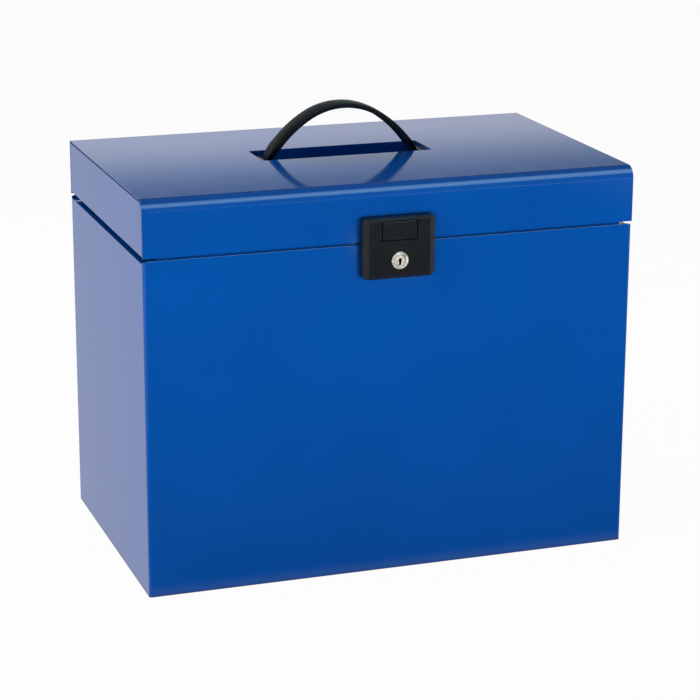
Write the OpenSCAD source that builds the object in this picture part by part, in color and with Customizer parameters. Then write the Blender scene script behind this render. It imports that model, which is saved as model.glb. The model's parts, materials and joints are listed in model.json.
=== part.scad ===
// Portable sheet steel file box: a rectangular body with two rails for hanging files, a hinged lid with
// a carrying handle in a recess, and a push-button latch with a key lock on the front.
// Millimetres. +Z is up, -Y is the front. The origin is the middle of the underside of the body.

/* [Box] */
// Width of the box, left to right
box_w = 375; // [362:1:450]
// Depth of the box, front to back
box_d = 225; // [150:1:340]
// Height of the body's front wall
body_h = 251.5; // [200:0.5:320]
// Thickness of the painted steel sheet
sheet_t = 0.8; // [0.6:0.1:1]
// Outside radius of the body's four upright corners
body_corner_r = 2.5; // [2:0.1:6]
// How much lower the side walls stop than the front wall
side_drop = 2.5; // [1:0.1:5]
// Height of the hem folded inwards along the front and back rims
hem_h = 8; // [5:0.5:10]
// Height of the bottom pan's upturned flange
pan_flange_h = 10; // [6:0.5:20]

/* [Lid] */
// Height of the lid
lid_h = 42; // [36:0.5:60]
// Gap between the lid's front panel and the body's front wall
seam_gap = 1; // [0.6:0.1:2]
// Outside radius of the long bend along the lid's front
lid_bend_r = 9; // [3:0.5:14]
// Outside radius of the bend along the lid's back
back_bend_r = 2; // [1.6:0.1:8]
// How much higher the lid's end caps stop than its front panel
end_rise = 1.7; // [0:0.1:4]
// Width of the groove between an end cap and the cut edge of the wrapped sheet
end_groove = 1; // [0.4:0.1:2]
// Depth of the flange by which an end cap is welded into the lid
end_flange = 8; // [5:0.5:15]

/* [Inside of the rim] */
// How far the inner strips stand above the front rim, to guide the lid
neck_rise = 5; // [2:0.5:8]
// How far the inner strips reach down behind the front rim
neck_drop = 14; // [10:0.5:20]
// Distance from each side of the box to the end of an inner strip
neck_end = 9.5; // [6:0.5:20]
// Gap between an inner strip and the plate behind the latch
neck_gap = 0.5; // [0.3:0.1:3]

/* [File rails] */
// Distance between the two rails that the file hooks hang on
rail_pitch = 330; // [300:1:340]
// Height of a rail's lip above its shelf
rail_lip_h = 9; // [6:0.5:12]
// Height of the flange that welds a rail to the side wall
rail_flange_h = 14; // [8:0.5:25]
// Space between a rail's end and the front or back wall's hem
rail_end_gap = 1.2; // [0.5:0.1:5]

/* [Hinges] */
// Distance from each side of the box to a hinge's middle
hinge_end = 77.5; // [45:0.5:100]
// Length of a hinge along the box
hinge_l = 50; // [36:1:70]
// Height of a hinge leaf from the axis to its edge
hinge_leaf_h = 20; // [15:0.5:24]
// Thickness of a hinge leaf
hinge_leaf_t = 1; // [0.8:0.1:1.2]
// Outside radius of the hinge knuckles
knuckle_r = 2.8; // [2.6:0.1:3.4]
// Radius of the hinge pin
hinge_pin_r = 1.5; // [1:0.1:1.7]
// Radial play of a pin in the piece that turns on it
pin_play = 0.05; // [0.02:0.01:0.1]
// Distance of the knuckles from the back walls
knuckle_gap = 0.3; // [0.3:0.05:0.6]
// Gap between neighbouring knuckles
knuckle_side_gap = 0.4; // [0.3:0.05:0.8]
// Radius of a rivet's shank
rivet_r = 1.5; // [1:0.1:1.8]
// Radius of a rivet's head
rivet_head_r = 3; // [2.4:0.1:3.4]
// Height of a rivet's head
rivet_head_h = 1.1; // [0.6:0.1:1.3]
// Distance from the end of a hinge leaf to its rivets
rivet_end = 10; // [7:0.5:12]
// Distance from the long edge of a hinge leaf to its rivets
rivet_edge = 7; // [5:0.5:8]

/* [Handle recess] */
// Length of the recess in the lid
recess_l = 135; // [120:1:180]
// Width of the recess, front to back
recess_w = 37; // [30:1:60]
// Depth of the recess below the lid's top
recess_depth = 16; // [14.5:0.5:22]
// Radius of the recess's corners
recess_r = 2; // [1:0.1:5]
// How far the recess and the handle sit behind the middle of the box
handle_y = 11; // [-20:1:25]
// Width of the flange that welds the tray under the lid's top
tray_flange = 8; // [4:0.5:14]

/* [Handle] */
// Height of the handle's crown above the lid's top
handle_h = 38.3; // [30:0.1:60]
// Outside radius of the handle's crown
crown_r = 55; // [35:1:60]
// Thickness of the handle's strap
strap_t = 4.2; // [3:0.1:6]
// Width of the strap, front to back
grip_w = 18; // [12:0.5:24]
// Width of the strap's ends above the feet, front to back
leg_w = 10; // [6:0.5:10]
// Distance along the box over which each end of the strap narrows
leg_taper = 6.5; // [5:0.5:24]
// Thickness of the handle's feet, along the pivot
foot_t = 4.7; // [3.5:0.1:6]
// Radius of the handle's feet around the pivot
foot_r = 5.5; // [5:0.1:6]
// Depth of the pivot below the lid's top
pivot_drop = 8; // [7:0.1:8.5]
// Radius of the handle's pivot pins
handle_pin_r = 2; // [1.5:0.1:2.5]
// Thickness of the pivot blocks at the ends of the recess
block_t = 5.6; // [5:0.1:8]
// How far the top of a pivot block is below the lid's top
block_drop = 2.5; // [1:0.1:4]
// Side play of the handle between the pivot blocks
foot_play = 0.4; // [0.2:0.1:1]
// Distance from the long sides of the recess to the rivets of a pivot block
block_rivet_edge = 7.4; // [5:0.1:8]
// How deep these rivets reach into a pivot block
block_rivet_grip = 3.5; // [2:0.1:4.5]

/* [Latch housing] */
// Width of the latch housing at its back
latch_w = 55; // [53:0.5:65]
// How far the latch housing stands out from the front
latch_proud = 9.4; // [9.4:0.1:12]
// Height of the latch housing above the front rim
latch_up = 20; // [20:0.5:24]
// Depth of the latch housing below the front rim
latch_down = 25; // [24:0.5:30]
// Width of the sloping sides of the housing's face
latch_slope_w = 4.2; // [2:0.1:5]
// Width of the slope along the housing's top
latch_slope_top = 1.7; // [1:0.1:2.5]
// Width of the slope along the housing's lower edge
latch_slope_low = 2.5; // [1:0.1:4]
// Depth of the sloping sides of the housing's face
latch_slope_h = 2.2; // [1:0.1:3]
// Radius of the housing's lower corners
latch_low_r = 5; // [2:0.1:8]
// Radius of the housing's upper corners
latch_top_r = 2.5; // [1:0.1:5]
// Thickness of the housing's walls
latch_wall = 1.8; // [1.6:0.1:2.2]
// Thickness of the housing's lower wall
latch_low_wall = 2.6; // [1.6:0.1:3]
// Gap between the housing and the lid's front
latch_lid_gap = 0.5; // [0.3:0.1:0.8]
// Distance of the latch screws from the middle
latch_screw_x = 18.5; // [17:0.1:19]
// Depth of the latch screws below the front rim
latch_screw_drop = 18; // [16:0.1:18.5]
// Radius of a latch screw's thread
screw_r = 1.4; // [1.2:0.1:1.6]
// Wall of the bosses that the screws go into
boss_wall = 2; // [1.2:0.1:2.2]
// Thickness of the steel plate behind the latch
backplate_t = 1; // [0.8:0.1:1.5]
// How far this plate reaches sideways past the latch screws
plate_margin = 5; // [3.5:0.5:8]

/* [Push button] */
// Width of the button
button_w = 26.7; // [22:0.1:30]
// Height of the button
button_h = 14.4; // [12:0.1:15]
// Space between the button and the inside of the housing's top wall
button_top_gap = 0.4; // [0.35:0.05:1.5]
// Gap round the button
button_gap = 0.3; // [0.2:0.05:0.35]
// How far the button stands out of the housing's face
button_proud = 0.3; // [0.1:0.1:0.8]
// Thickness of the button's front
button_pad = 1.8; // [1.2:0.1:2]
// How far the button's lips reach sideways behind the housing's face
button_lip = 1; // [0.6:0.1:2]
// Width of the nib by which the button pushes the lever
nib_w = 10; // [4:0.5:12]

/* [Catch lever] */
// Width of the lever
lever_w = 14; // [12:0.5:17]
// Height of the lever's pivot above the front rim
lever_z = 11.5; // [11:0.1:12]
// Radius of the lever's pivot pin
lever_pin_r = 1; // [0.8:0.1:1.2]
// Side play of the lever between the housing's ears
lever_play = 0.4; // [0.2:0.1:1]
// Thickness of the housing's ears that hold the pin
ear_t = 2; // [1.2:0.1:2.6]
// Width of the tongue that holds the lid down
tongue_w = 12; // [8:0.5:12.5]
// Thickness of the tongue
tongue_t = 2; // [1.2:0.1:2.4]
// Height of the tongue above the front rim
tongue_z = 5.2; // [5:0.1:5.6]
// How far the tongue reaches in behind the lid's front panel
tongue_reach = 0.7; // [0.3:0.1:1]
// How far the tongue's slot in the lid reaches below it, for its swing
tongue_swing = 1.8; // [1.4:0.1:2]
// Play between the tongue and its slot in the lid
tongue_play = 0.7; // [0.4:0.1:1.2]
// Wire thickness of the catch spring
spring_wire = 0.35; // [0.25:0.05:0.5]
// Mean radius of the catch spring
spring_r = 1.6; // [1.2:0.1:1.8]

/* [Lock] */
// Depth of the lock's axis below the front rim
lock_drop = 11.5; // [11:0.1:12]
// Outside radius of the lock barrel
barrel_r = 6; // [5.5:0.1:6.2]
// Outside radius of the barrel's front ring
bezel_r = 6.6; // [6.4:0.1:7.5]
// Thickness of the barrel's front ring
bezel_t = 0.8; // [0.5:0.1:1.5]
// How far the lock barrel stands out behind its nut
barrel_tail = 2.8; // [1:0.1:4]
// Radius of the turning plug
plug_r = 4.25; // [3.8:0.05:4.5]
// Width of the keyway
keyway_w = 1.7; // [1:0.1:2.2]
// Depth of the keyway
keyway_depth = 6; // [3:0.5:10]
// How far the keyway reaches below the lock's axis
keyway_low = 3.2; // [2:0.1:3.4]
// Radius of the plug's tail, which carries the cam
tail_r = 2.5; // [2.2:0.1:3]
// Width of the tail across its flats
tail_flat = 3.6; // [3:0.1:3.8]
// Thickness of the lock's nut
nut_t = 3; // [2:0.1:4]
// Radius of the lock's nut over its corners
nut_r = 9.2; // [8:0.1:9.6]
// Thickness of the cam
cam_t = 1.4; // [1:0.1:2]
// Radius of the cam's hub
hub_r = 5.5; // [4:0.1:7]
// Width of the cam's hook
hook_w = 3.5; // [2:0.1:5]
// Play between the cam's hook and the striker's tab
hook_play = 0.4; // [0.3:0.1:1]
// Radius of the cam screw's thread
cam_screw_r = 0.9; // [0.7:0.1:1]
// Radius of the cam screw's head
cam_screw_head_r = 3.4; // [2.8:0.1:4]

/* [Striker] */
// Width of the striker's plate
strike_w = 18; // [16:0.5:30]
// Height of the striker's plate
strike_h = 14; // [10:0.5:20]
// Thickness of the striker
strike_t = 0.6; // [0.5:0.1:1]
// Width of the striker's tab
strike_tab_w = 13; // [8:0.5:13]

/* [Hidden] */
$fn = 48;
blue = [0.0, 0.29, 0.62];
black = [0.11, 0.13, 0.13];
nickel = [0.78, 0.78, 0.76];
zinc = [0.62, 0.64, 0.66];
// Radial clearance of a shank in its hole
fit = 0.05;
// How far a cutting shape runs past the face that it opens
past = 1;
// How far shapes of one piece run into each other
weld = 0.1;

front_y = -box_d / 2;
back_y = box_d / 2;
side_x = box_w / 2;
rim_z = body_h;
side_rim_z = body_h - side_drop;
lid_z = body_h + seam_gap;
lid_top = lid_z + lid_h;

hinge_x = side_x - hinge_end;
hinge_y = back_y + knuckle_gap + knuckle_r;
hinge_z = rim_z + seam_gap / 2;
knuckle_l = hinge_l / 3;
leaf_relief = knuckle_r + 0.4;
leaf_hole_x = hinge_l / 2 - rivet_end;
leaf_hole_z = hinge_leaf_h - rivet_edge;
pin_inset = 0.3;
// How much wider a rivet's upset tail is than its shank, on each side
rivet_upset = 0.8;

foot_out_x = recess_l / 2 - block_t - foot_play;
foot_in_x = foot_out_x - foot_t;
// The arch's outer edge meets the lid's top this far inside the foot's outer face
arch_inset = 2.2;
arch_x = foot_out_x - arch_inset;
crown_angle = 30;
crown_x = crown_r * sin(crown_angle);
crown_z = handle_h - crown_r * (1 - cos(crown_angle));
chord_angle = atan2(crown_z, arch_x - crown_x);
leg_angle = 2 * chord_angle - crown_angle;
leg_r = norm([arch_x - crown_x, crown_z]) / (2 * sin((leg_angle - crown_angle) / 2));
leg_centre = [crown_x - leg_r * sin(crown_angle), crown_z - leg_r * cos(crown_angle)];
pivot_z = lid_top - pivot_drop;
floor_z = lid_top - recess_depth;
block_rivet_y = recess_w / 2 - block_rivet_edge;
// What is left of a pivot block behind the blind end of the pin's hole
pin_end_wall = 0.5;

// Distances in the latch are measured outwards from the front wall and upwards from the front rim.
cavity = latch_proud - latch_wall;
plate_x = latch_screw_x + plate_margin;
plate_back = sheet_t + backplate_t;
screw_grip = cavity - 2;
screw_head_h = 1.8;
button_top = latch_up - latch_wall - button_top_gap;
button_z = button_top - button_h;
button_wall = 1.2;
lip_gap = 0.2;
lip_t = 1.4;
lever_out = 2.8;
lever_plate = 1.4;
lever_knuckle_r = lever_pin_r + 1.2;
ear_x = lever_w / 2 + lever_play;
nib_t = 1.6;
nib_gap = 0.3;
tongue_tip = sheet_t + tongue_reach;
slot_x = tongue_w / 2 + tongue_play;
slot_z = tongue_z - tongue_swing;
slot_h = tongue_swing + tongue_t + tongue_play;
spring_z = 1;
spring_turns = 4;
spring_gap = 0.05;
lever_low_z = spring_z - spring_r - spring_wire;

lock_z = rim_z - lock_drop;
barrel_back = plate_back + nut_t + barrel_tail;
plug_sunk = 0.2;
keyhole_z = 0.6;
keyhole_r = 0.75 * keyway_w;
cam_gap = 0.3;
cam_front = barrel_back + cam_gap;
cam_back = cam_front + cam_t;
cam_head_h = 1.6;
// Angles of the cam at rest, upwards from the right
cam_arm_from = -50;
cam_arm_to = -38;
cam_hook_to = 5;
hook_in_r = norm([strike_tab_w / 2, lock_drop + seam_gap + strike_t]) + hook_play;
hook_out_r = hook_in_r + hook_w;
tail_fit = 0.02;

// ---- shared shapes ----

// A flat shape drawn in x and z, from y0 to y1
module prism_y(y0, y1) {
  translate([0, y1, 0]) rotate([90, 0, 0]) linear_extrude(y1 - y0) children();
}

// A flat shape drawn in y and z, from x0 to x1
module prism_x(x0, x1) {
  translate([x0, 0, 0]) rotate([90, 0, 90]) linear_extrude(x1 - x0) children();
}

// A flat shape drawn in x and y, from z0 to z1
module prism_z(z0, z1) {
  translate([0, 0, z0]) linear_extrude(z1 - z0) children();
}

module rod_x(x0, x1, y, z, r) {
  translate([x0, y, z]) rotate([0, 90, 0]) cylinder(h = x1 - x0, r = r);
}

module rod_y(y0, y1, x, z, r) {
  translate([x, y1, z]) rotate([90, 0, 0]) cylinder(h = y1 - y0, r = r);
}

module block(low, high) {
  translate(low) cube(high - low);
}

// A rectangle about the middle with round corners
module round_rect(w, d, r) {
  square([w - 2 * r, d], center = true);
  square([w, d - 2 * r], center = true);
  for (sx = [-1, 1], sy = [-1, 1])
    translate([sx * (w / 2 - r), sy * (d / 2 - r)]) circle(r);
}

// What lies outside a round corner whose sharp point is at the origin, pointing to -x and +y
module corner_waste(r) {
  difference() {
    translate([-past, -r]) square([r + past, r + past]);
    translate([r, -r]) circle(r);
  }
}

// The part of a ring between two angles from the vertical, less than 180 degrees apart
module ring_sector(centre, r_out, r_in, from, to) {
  reach = 2 * r_out;
  mid = (from + to) / 2;
  translate(centre) intersection() {
    difference() {
      circle(r_out, $fn = 96);
      circle(r_in, $fn = 96);
    }
    polygon([
      [0, 0],
      [reach * sin(from), reach * cos(from)],
      [reach * sin(mid), reach * cos(mid)],
      [reach * sin(to), reach * cos(to)]
    ]);
  }
}

module mirrored_pair() {
  children();
  mirror([1, 0, 0]) children();
}

// A cross-shaped driver recess in a screw head whose top is at y
module cross_recess(x, y, z, size) {
  slot = 0.6;
  depth = 0.9;
  block([x - size / 2, y - depth, z - slot / 2], [x + size / 2, y + past, z + slot / 2]);
  block([x - slot / 2, y - depth, z - size / 2], [x + slot / 2, y + past, z + size / 2]);
}

// ---- body ----

module body_plan(inset) {
  round_rect(box_w - 2 * inset, box_d - 2 * inset, body_corner_r - inset);
}

// A hem folded flat against the inside of a wall, with a round rim; drawn for the front wall
module rim_hem() {
  hem_x = side_x - body_corner_r;
  block([-hem_x, front_y + sheet_t, rim_z - hem_h], [hem_x, front_y + 2 * sheet_t, rim_z - sheet_t]);
  rod_x(-hem_x, hem_x, front_y + sheet_t, rim_z - sheet_t, sheet_t);
}

// The top of the front wall, which the round of the hem replaces
module rim_relief() {
  block(
    [-side_x - past, front_y - past, rim_z - sheet_t],
    [side_x + past, front_y + body_corner_r, rim_z + past]
  );
}

module body_wrap() {
  color(blue) difference() {
    union() {
      difference() {
        prism_z(0, rim_z) difference() {
          body_plan(0);
          body_plan(sheet_t);
        }
        block(
          [-side_x - past, front_y + body_corner_r, side_rim_z],
          [side_x + past, back_y - body_corner_r, rim_z + past]
        );
        rim_relief();
        mirror([0, 1, 0]) rim_relief();
      }
      rim_hem();
      mirror([0, 1, 0]) rim_hem();
    }
    rod_y(front_y - past, front_y + 3 * sheet_t, 0, lock_z, barrel_r + fit);
    for (s = [-1, 1])
      rod_y(
        front_y - past, front_y + 3 * sheet_t,
        s * latch_screw_x, rim_z - latch_screw_drop, screw_r + fit
      );
    hinge_holes(hinge_z - leaf_hole_z);
  }
}

module bottom_pan() {
  x = side_x - sheet_t;
  y = back_y - sheet_t;
  color(blue) difference() {
    block([-x, -y, 0], [x, y, pan_flange_h]);
    block([-x + sheet_t, -y + sheet_t, sheet_t], [x - sheet_t, y - sheet_t, pan_flange_h + past]);
    for (sx = [-1, 1], sy = [-1, 1])
      translate([sx * x, sy * y, pan_flange_h / 2])
        cube([2 * body_corner_r, 2 * body_corner_r, pan_flange_h + 2 * past], center = true);
  }
}

// One file rail: a flange on the side wall, a shelf level with its rim, and a lip for the hooks
module file_rail() {
  wall_x = side_x - sheet_t;
  lip_x = rail_pitch / 2;
  end_y = back_y - 2 * sheet_t - rail_end_gap;
  prism_y(-end_y, end_y) polygon([
    [wall_x, side_rim_z],
    [lip_x + sheet_t / 2, side_rim_z],
    [lip_x + sheet_t / 2, side_rim_z + rail_lip_h],
    [lip_x - sheet_t / 2, side_rim_z + rail_lip_h],
    [lip_x - sheet_t / 2, side_rim_z - sheet_t],
    [wall_x - sheet_t, side_rim_z - sheet_t],
    [wall_x - sheet_t, side_rim_z - rail_flange_h],
    [wall_x, side_rim_z - rail_flange_h]
  ]);
}

module rail_right() {
  color(blue) file_rail();
}

module rail_left() {
  color(blue) mirror([1, 0, 0]) file_rail();
}

// Two strips behind the front rim, one on each side of the latch's plate
module front_neck() {
  color(blue) mirrored_pair()
    block(
      [plate_x + neck_gap, front_y + 2 * sheet_t, rim_z - neck_drop],
      [side_x - neck_end, front_y + 3 * sheet_t, rim_z + neck_rise]
    );
}

// ---- hinges ----

// Rivet holes of both hinges through the back walls and the leaves, at height z
module hinge_holes(z) {
  for (hx = [-hinge_x, hinge_x], sx = [-1, 1])
    rod_y(back_y - 3 * sheet_t, back_y + 2 * hinge_leaf_t, hx + sx * leaf_hole_x, z, rivet_r + fit);
}

// Rivets of both hinges through one wall, with a round head outside and an upset tail inside
module hinge_rivets(z) {
  wall_y = back_y - sheet_t;
  out_y = back_y + hinge_leaf_t;
  for (hx = [-hinge_x, hinge_x], sx = [-1, 1]) {
    x = hx + sx * leaf_hole_x;
    rod_y(wall_y - weld, out_y + weld, x, z, rivet_r);
    rod_y(wall_y - rivet_head_h, wall_y, x, z, rivet_r + rivet_upset);
    translate([x, out_y, z]) rotate([-90, 0, 0]) rotate_extrude() rivet_dome();
  }
}

// Half the section of a round rivet head standing on y = 0
module rivet_dome() {
  dome_r = (pow(rivet_head_r, 2) + pow(rivet_head_h, 2)) / (2 * rivet_head_h);
  intersection() {
    translate([0, rivet_head_h - dome_r]) circle(dome_r, $fn = 96);
    square([rivet_head_r + past, rivet_head_h + past]);
  }
}

// A leaf reaching up from the axis, with knuckles in the given thirds of its length
module hinge_leaf(x, own, other) {
  half = hinge_l / 2;
  translate([x, 0, 0]) difference() {
    union() {
      block([-half, back_y, hinge_z], [half, back_y + hinge_leaf_t, hinge_z + hinge_leaf_h]);
      for (third = own) knuckle(third, knuckle_r, knuckle_side_gap / 2);
    }
    for (third = own) knuckle(third, hinge_pin_r + pin_play, -past);
    for (third = other) knuckle(third, leaf_relief, -knuckle_side_gap / 2);
    for (sx = [-1, 1])
      rod_y(
        back_y - past, back_y + 2 * hinge_leaf_t,
        sx * leaf_hole_x, hinge_z + leaf_hole_z, rivet_r + fit
      );
  }
}

// A third of the hinge's length round the axis; trim shortens both of its ends
module knuckle(third, r, trim) {
  rod_x((third - 0.5) * knuckle_l + trim, (third + 0.5) * knuckle_l - trim, hinge_y, hinge_z, r);
}

// The body's leaf reaches down from the axis, and carries the outer two knuckles
module body_leaf(x) {
  translate([0, 0, 2 * hinge_z]) mirror([0, 0, 1]) hinge_leaf(x, [-1, 1], [0]);
}

module hinge_body_leaf_left() {
  color(zinc) body_leaf(-hinge_x);
}

module hinge_body_leaf_right() {
  color(zinc) body_leaf(hinge_x);
}

module hinge_lid_leaf_left() {
  color(zinc) hinge_leaf(-hinge_x, [0], [-1, 1]);
}

module hinge_lid_leaf_right() {
  color(zinc) hinge_leaf(hinge_x, [0], [-1, 1]);
}

module hinge_pins() {
  reach = hinge_l / 2 - pin_inset;
  color(zinc) for (hx = [-hinge_x, hinge_x])
    rod_x(hx - reach, hx + reach, hinge_y, hinge_z, hinge_pin_r);
}

module body_hinge_rivets() {
  color(zinc) hinge_rivets(hinge_z - leaf_hole_z);
}

module lid_hinge_rivets() {
  color(zinc) hinge_rivets(hinge_z + leaf_hole_z);
}

// ---- latch ----

// Places what is drawn from the front wall outwards (-y) and from the front rim upwards
module at_latch() {
  translate([0, front_y, rim_z]) children();
}

// The housing's section between two edges, with sloping sides; drawn with its back on y = 0
module sloped_outline(low, high, slope_low, slope_high) {
  polygon([
    [low, 0],
    [high, 0],
    [high, -latch_proud + latch_slope_h],
    [high - slope_high, -latch_proud],
    [low + slope_low, -latch_proud],
    [low, -latch_proud + latch_slope_h]
  ]);
}

// The housing's outline seen from the front
module latch_face() {
  half = latch_w / 2;
  difference() {
    translate([-half, -latch_down]) square([latch_w, latch_up + latch_down]);
    mirrored_pair() {
      translate([-half, latch_up]) corner_waste(latch_top_r);
      translate([-half, -latch_down]) mirror([0, 1]) corner_waste(latch_low_r);
    }
  }
}

module latch_block() {
  half = latch_w / 2;
  intersection() {
    prism_y(-latch_proud, 0) latch_face();
    prism_z(-latch_down, latch_up) sloped_outline(-half, half, latch_slope_w, latch_slope_w);
    prism_x(-half, half) mirror([1, -1])
      sloped_outline(-latch_down, latch_up, latch_slope_low, latch_slope_top);
  }
}

module latch_housing() {
  inner_x = latch_w / 2 - latch_slope_w - 0.6;
  window_x = button_w / 2 + button_gap;
  color(black) at_latch() difference() {
    union() {
      difference() {
        latch_block();
        block([-inner_x, -cavity, -latch_down + latch_low_wall], [inner_x, past, latch_up - latch_wall]);
        block([-latch_w, -latch_lid_gap, 0], [latch_w, past, latch_up + past]);
      }
      for (s = [-1, 1])
        rod_y(-cavity - weld, 0, s * latch_screw_x, -latch_screw_drop, screw_r + boss_wall);
      rod_y(-cavity - weld, 0, 0, -lock_drop, barrel_r + latch_wall);
      mirrored_pair() lever_ear();
    }
    rod_y(-latch_proud - past, past, 0, -lock_drop, barrel_r + fit);
    for (s = [-1, 1]) rod_y(-screw_grip - past, past, s * latch_screw_x, -latch_screw_drop, screw_r);
    rod_x(-ear_x - ear_t - past, ear_x + ear_t + past, -lever_out, lever_z, lever_pin_r);
    block(
      [-window_x, -latch_proud - past, button_z - button_gap],
      [window_x, -cavity + lip_gap, button_top + button_gap]
    );
  }
}

// One of the two ears that hold the lever's pin; it hangs from the housing's top wall
module lever_ear() {
  block(
    [ear_x, -lever_out - 2 * lever_pin_r, lever_z - 2 * lever_pin_r],
    [ear_x + ear_t, -latch_lid_gap, latch_up - latch_wall + weld]
  );
}

module latch_backplate() {
  color(zinc) at_latch() difference() {
    block([-plate_x, sheet_t, -latch_down + 1], [plate_x, plate_back, -hem_h]);
    rod_y(0, plate_back + past, 0, -lock_drop, barrel_r + fit);
    for (s = [-1, 1])
      rod_y(0, plate_back + past, s * latch_screw_x, -latch_screw_drop, screw_r + fit);
  }
}

// Screws from inside the body into the housing's bosses
module latch_screws() {
  head_top = plate_back + screw_head_h;
  color(zinc) at_latch() for (s = [-1, 1]) difference() {
    union() {
      rod_y(-screw_grip, plate_back + weld, s * latch_screw_x, -latch_screw_drop, screw_r);
      rod_y(plate_back, head_top, s * latch_screw_x, -latch_screw_drop, 2 * screw_r);
    }
    cross_recess(s * latch_screw_x, head_top, -latch_screw_drop, 2 * screw_r);
  }
}

// A pad in the housing's window, two side walls with lips behind its face, and a nib for the lever
module push_button() {
  half = button_w / 2;
  front = -latch_proud - button_proud;
  lip_front = -cavity + lip_gap;
  lip_back = lip_front + lip_t;
  lever_face = -lever_out - lever_plate / 2;
  color(black) at_latch() {
    block([-half, front, button_z], [half, front + button_pad, button_top]);
    mirrored_pair() {
      block([half - button_wall, front + weld, button_z], [half, lip_back, button_top]);
      block([half - button_wall, lip_front, button_z], [half + button_lip, lip_back, button_top]);
    }
    block([-nib_w / 2, front + weld, button_top - nib_t], [nib_w / 2, lever_face - nib_gap, button_top]);
  }
}

// The rocking lever: the button pushes its top in, and its tongue comes out of the lid's slot
module catch_lever() {
  half = lever_w / 2;
  plate = lever_plate / 2;
  color(zinc) at_latch() difference() {
    union() {
      block([-half, -lever_out - plate, lever_low_z], [half, -lever_out + plate, button_top]);
      rod_x(-half, half, -lever_out, lever_z, lever_knuckle_r);
      block([-tongue_w / 2, -lever_out, tongue_z], [tongue_w / 2, tongue_tip, tongue_z + tongue_t]);
    }
    rod_x(-half - past, half + past, -lever_out, lever_z, lever_pin_r + pin_play);
  }
}

module lever_pin() {
  color(zinc) at_latch() rod_x(-ear_x - ear_t, ear_x + ear_t, -lever_out, lever_z, lever_pin_r);
}

// A compression spring between the lever's foot and the inside of the housing's face
module catch_spring() {
  room = cavity - lever_out - lever_plate / 2;
  start = lever_out + lever_plate / 2 + spring_wire / 2 + spring_gap;
  color(zinc) at_latch() coil(start, room - spring_wire - 2 * spring_gap);
}

// A six-sided wire wound about an axis that points outwards at height spring_z
module coil(start, length) {
  sides = 6;
  steps = 14;
  rings = spring_turns * steps;
  points = [
    for (i = [0:rings], j = [0:sides - 1])
      let (a = 360 * i / steps, b = 360 * j / sides, r = spring_r + spring_wire / 2 * cos(b))
        [r * cos(a), -start - length * i / rings - spring_wire / 2 * sin(b), spring_z + r * sin(a)]
  ];
  walls = [
    for (i = [0:rings - 1], j = [0:sides - 1])
      let (k = (j + 1) % sides)
        [i * sides + j, (i + 1) * sides + j, (i + 1) * sides + k, i * sides + k]
  ];
  first = [[for (j = [0:sides - 1]) j]];
  last = [[for (j = [sides - 1:-1:0]) rings * sides + j]];
  polyhedron(points, concat(first, last, walls));
  gap = length / spring_turns - spring_wire;
  echo(least_gap_between_spring_turns = gap);
}

// ---- lock ----

module lock_barrel() {
  ring_front = -latch_proud - bezel_t;
  color(nickel) at_latch() difference() {
    union() {
      rod_y(ring_front, barrel_back, 0, -lock_drop, barrel_r);
      rod_y(ring_front, -latch_proud, 0, -lock_drop, bezel_r);
    }
    rod_y(ring_front - past, barrel_back + past, 0, -lock_drop, plug_r + pin_play);
  }
}

module lock_nut() {
  color(nickel) at_latch() difference() {
    translate([0, plate_back + nut_t, -lock_drop]) rotate([90, 0, 0]) cylinder(h = nut_t, r = nut_r, $fn = 6);
    rod_y(plate_back - past, plate_back + nut_t + past, 0, -lock_drop, barrel_r + fit);
  }
}

// The plug that the key turns, with its keyway in front and a flatted tail for the cam behind
module lock_plug() {
  face = -latch_proud - bezel_t + plug_sunk;
  key_end = face + keyway_depth;
  half = keyway_w / 2;
  color(nickel) at_latch() difference() {
    union() {
      rod_y(face, barrel_back + cam_gap / 2, 0, -lock_drop, plug_r);
      intersection() {
        rod_y(barrel_back, cam_back, 0, -lock_drop, tail_r);
        block(
          [-tail_r, barrel_back, -lock_drop - tail_flat / 2],
          [tail_r, cam_back, -lock_drop + tail_flat / 2]
        );
      }
    }
    rod_y(face - past, key_end, 0, -lock_drop + keyhole_z, keyhole_r);
    block([-half, face - past, -lock_drop - keyway_low], [half, key_end, -lock_drop + keyhole_z]);
    rod_y(cam_back - 4, cam_back + past, 0, -lock_drop, cam_screw_r);
  }
}

// The cam behind the plug: an arm that carries a curved hook
module lock_cam() {
  color(zinc) at_latch() prism_y(cam_front, cam_back) translate([0, -lock_drop]) difference() {
    union() {
      circle(hub_r);
      ring_sector([0, 0], hook_out_r, hub_r - 1, 90 - cam_arm_to, 90 - cam_arm_from);
      ring_sector([0, 0], hook_out_r, hook_in_r, 90 - cam_hook_to, 90 - cam_arm_from);
    }
    intersection() {
      circle(tail_r + tail_fit);
      square([3 * tail_r, tail_flat + 2 * tail_fit], center = true);
    }
  }
}

module cam_screw() {
  head_top = cam_back + cam_head_h;
  color(zinc) at_latch() difference() {
    union() {
      rod_y(cam_back - 3, cam_back + weld, 0, -lock_drop, cam_screw_r);
      rod_y(cam_back, head_top, 0, -lock_drop, cam_screw_head_r);
    }
    cross_recess(0, head_top, -lock_drop, cam_screw_head_r);
  }
}

// ---- lid ----

// The lid's section from the given height up, seen from its end, drawn in y and z
module lid_section(inset, low) {
  top = lid_top - inset;
  difference() {
    translate([front_y + inset, low]) square([box_d - 2 * inset, top - low]);
    translate([front_y + inset, top]) corner_waste(lid_bend_r - inset);
    translate([back_y - inset, top]) mirror([1, 0]) corner_waste(max(back_bend_r - inset, 0.2));
  }
}

module recess_plan(grow) {
  translate([0, handle_y]) round_rect(recess_l + 2 * grow, recess_w + 2 * grow, recess_r + grow);
}

// The slot for the tongue, cut through whatever lies between two depths behind the front
module tongue_slot(y0, y1) {
  at_latch() block([-slot_x, y0, slot_z], [slot_x, y1, slot_z + slot_h]);
}

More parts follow.
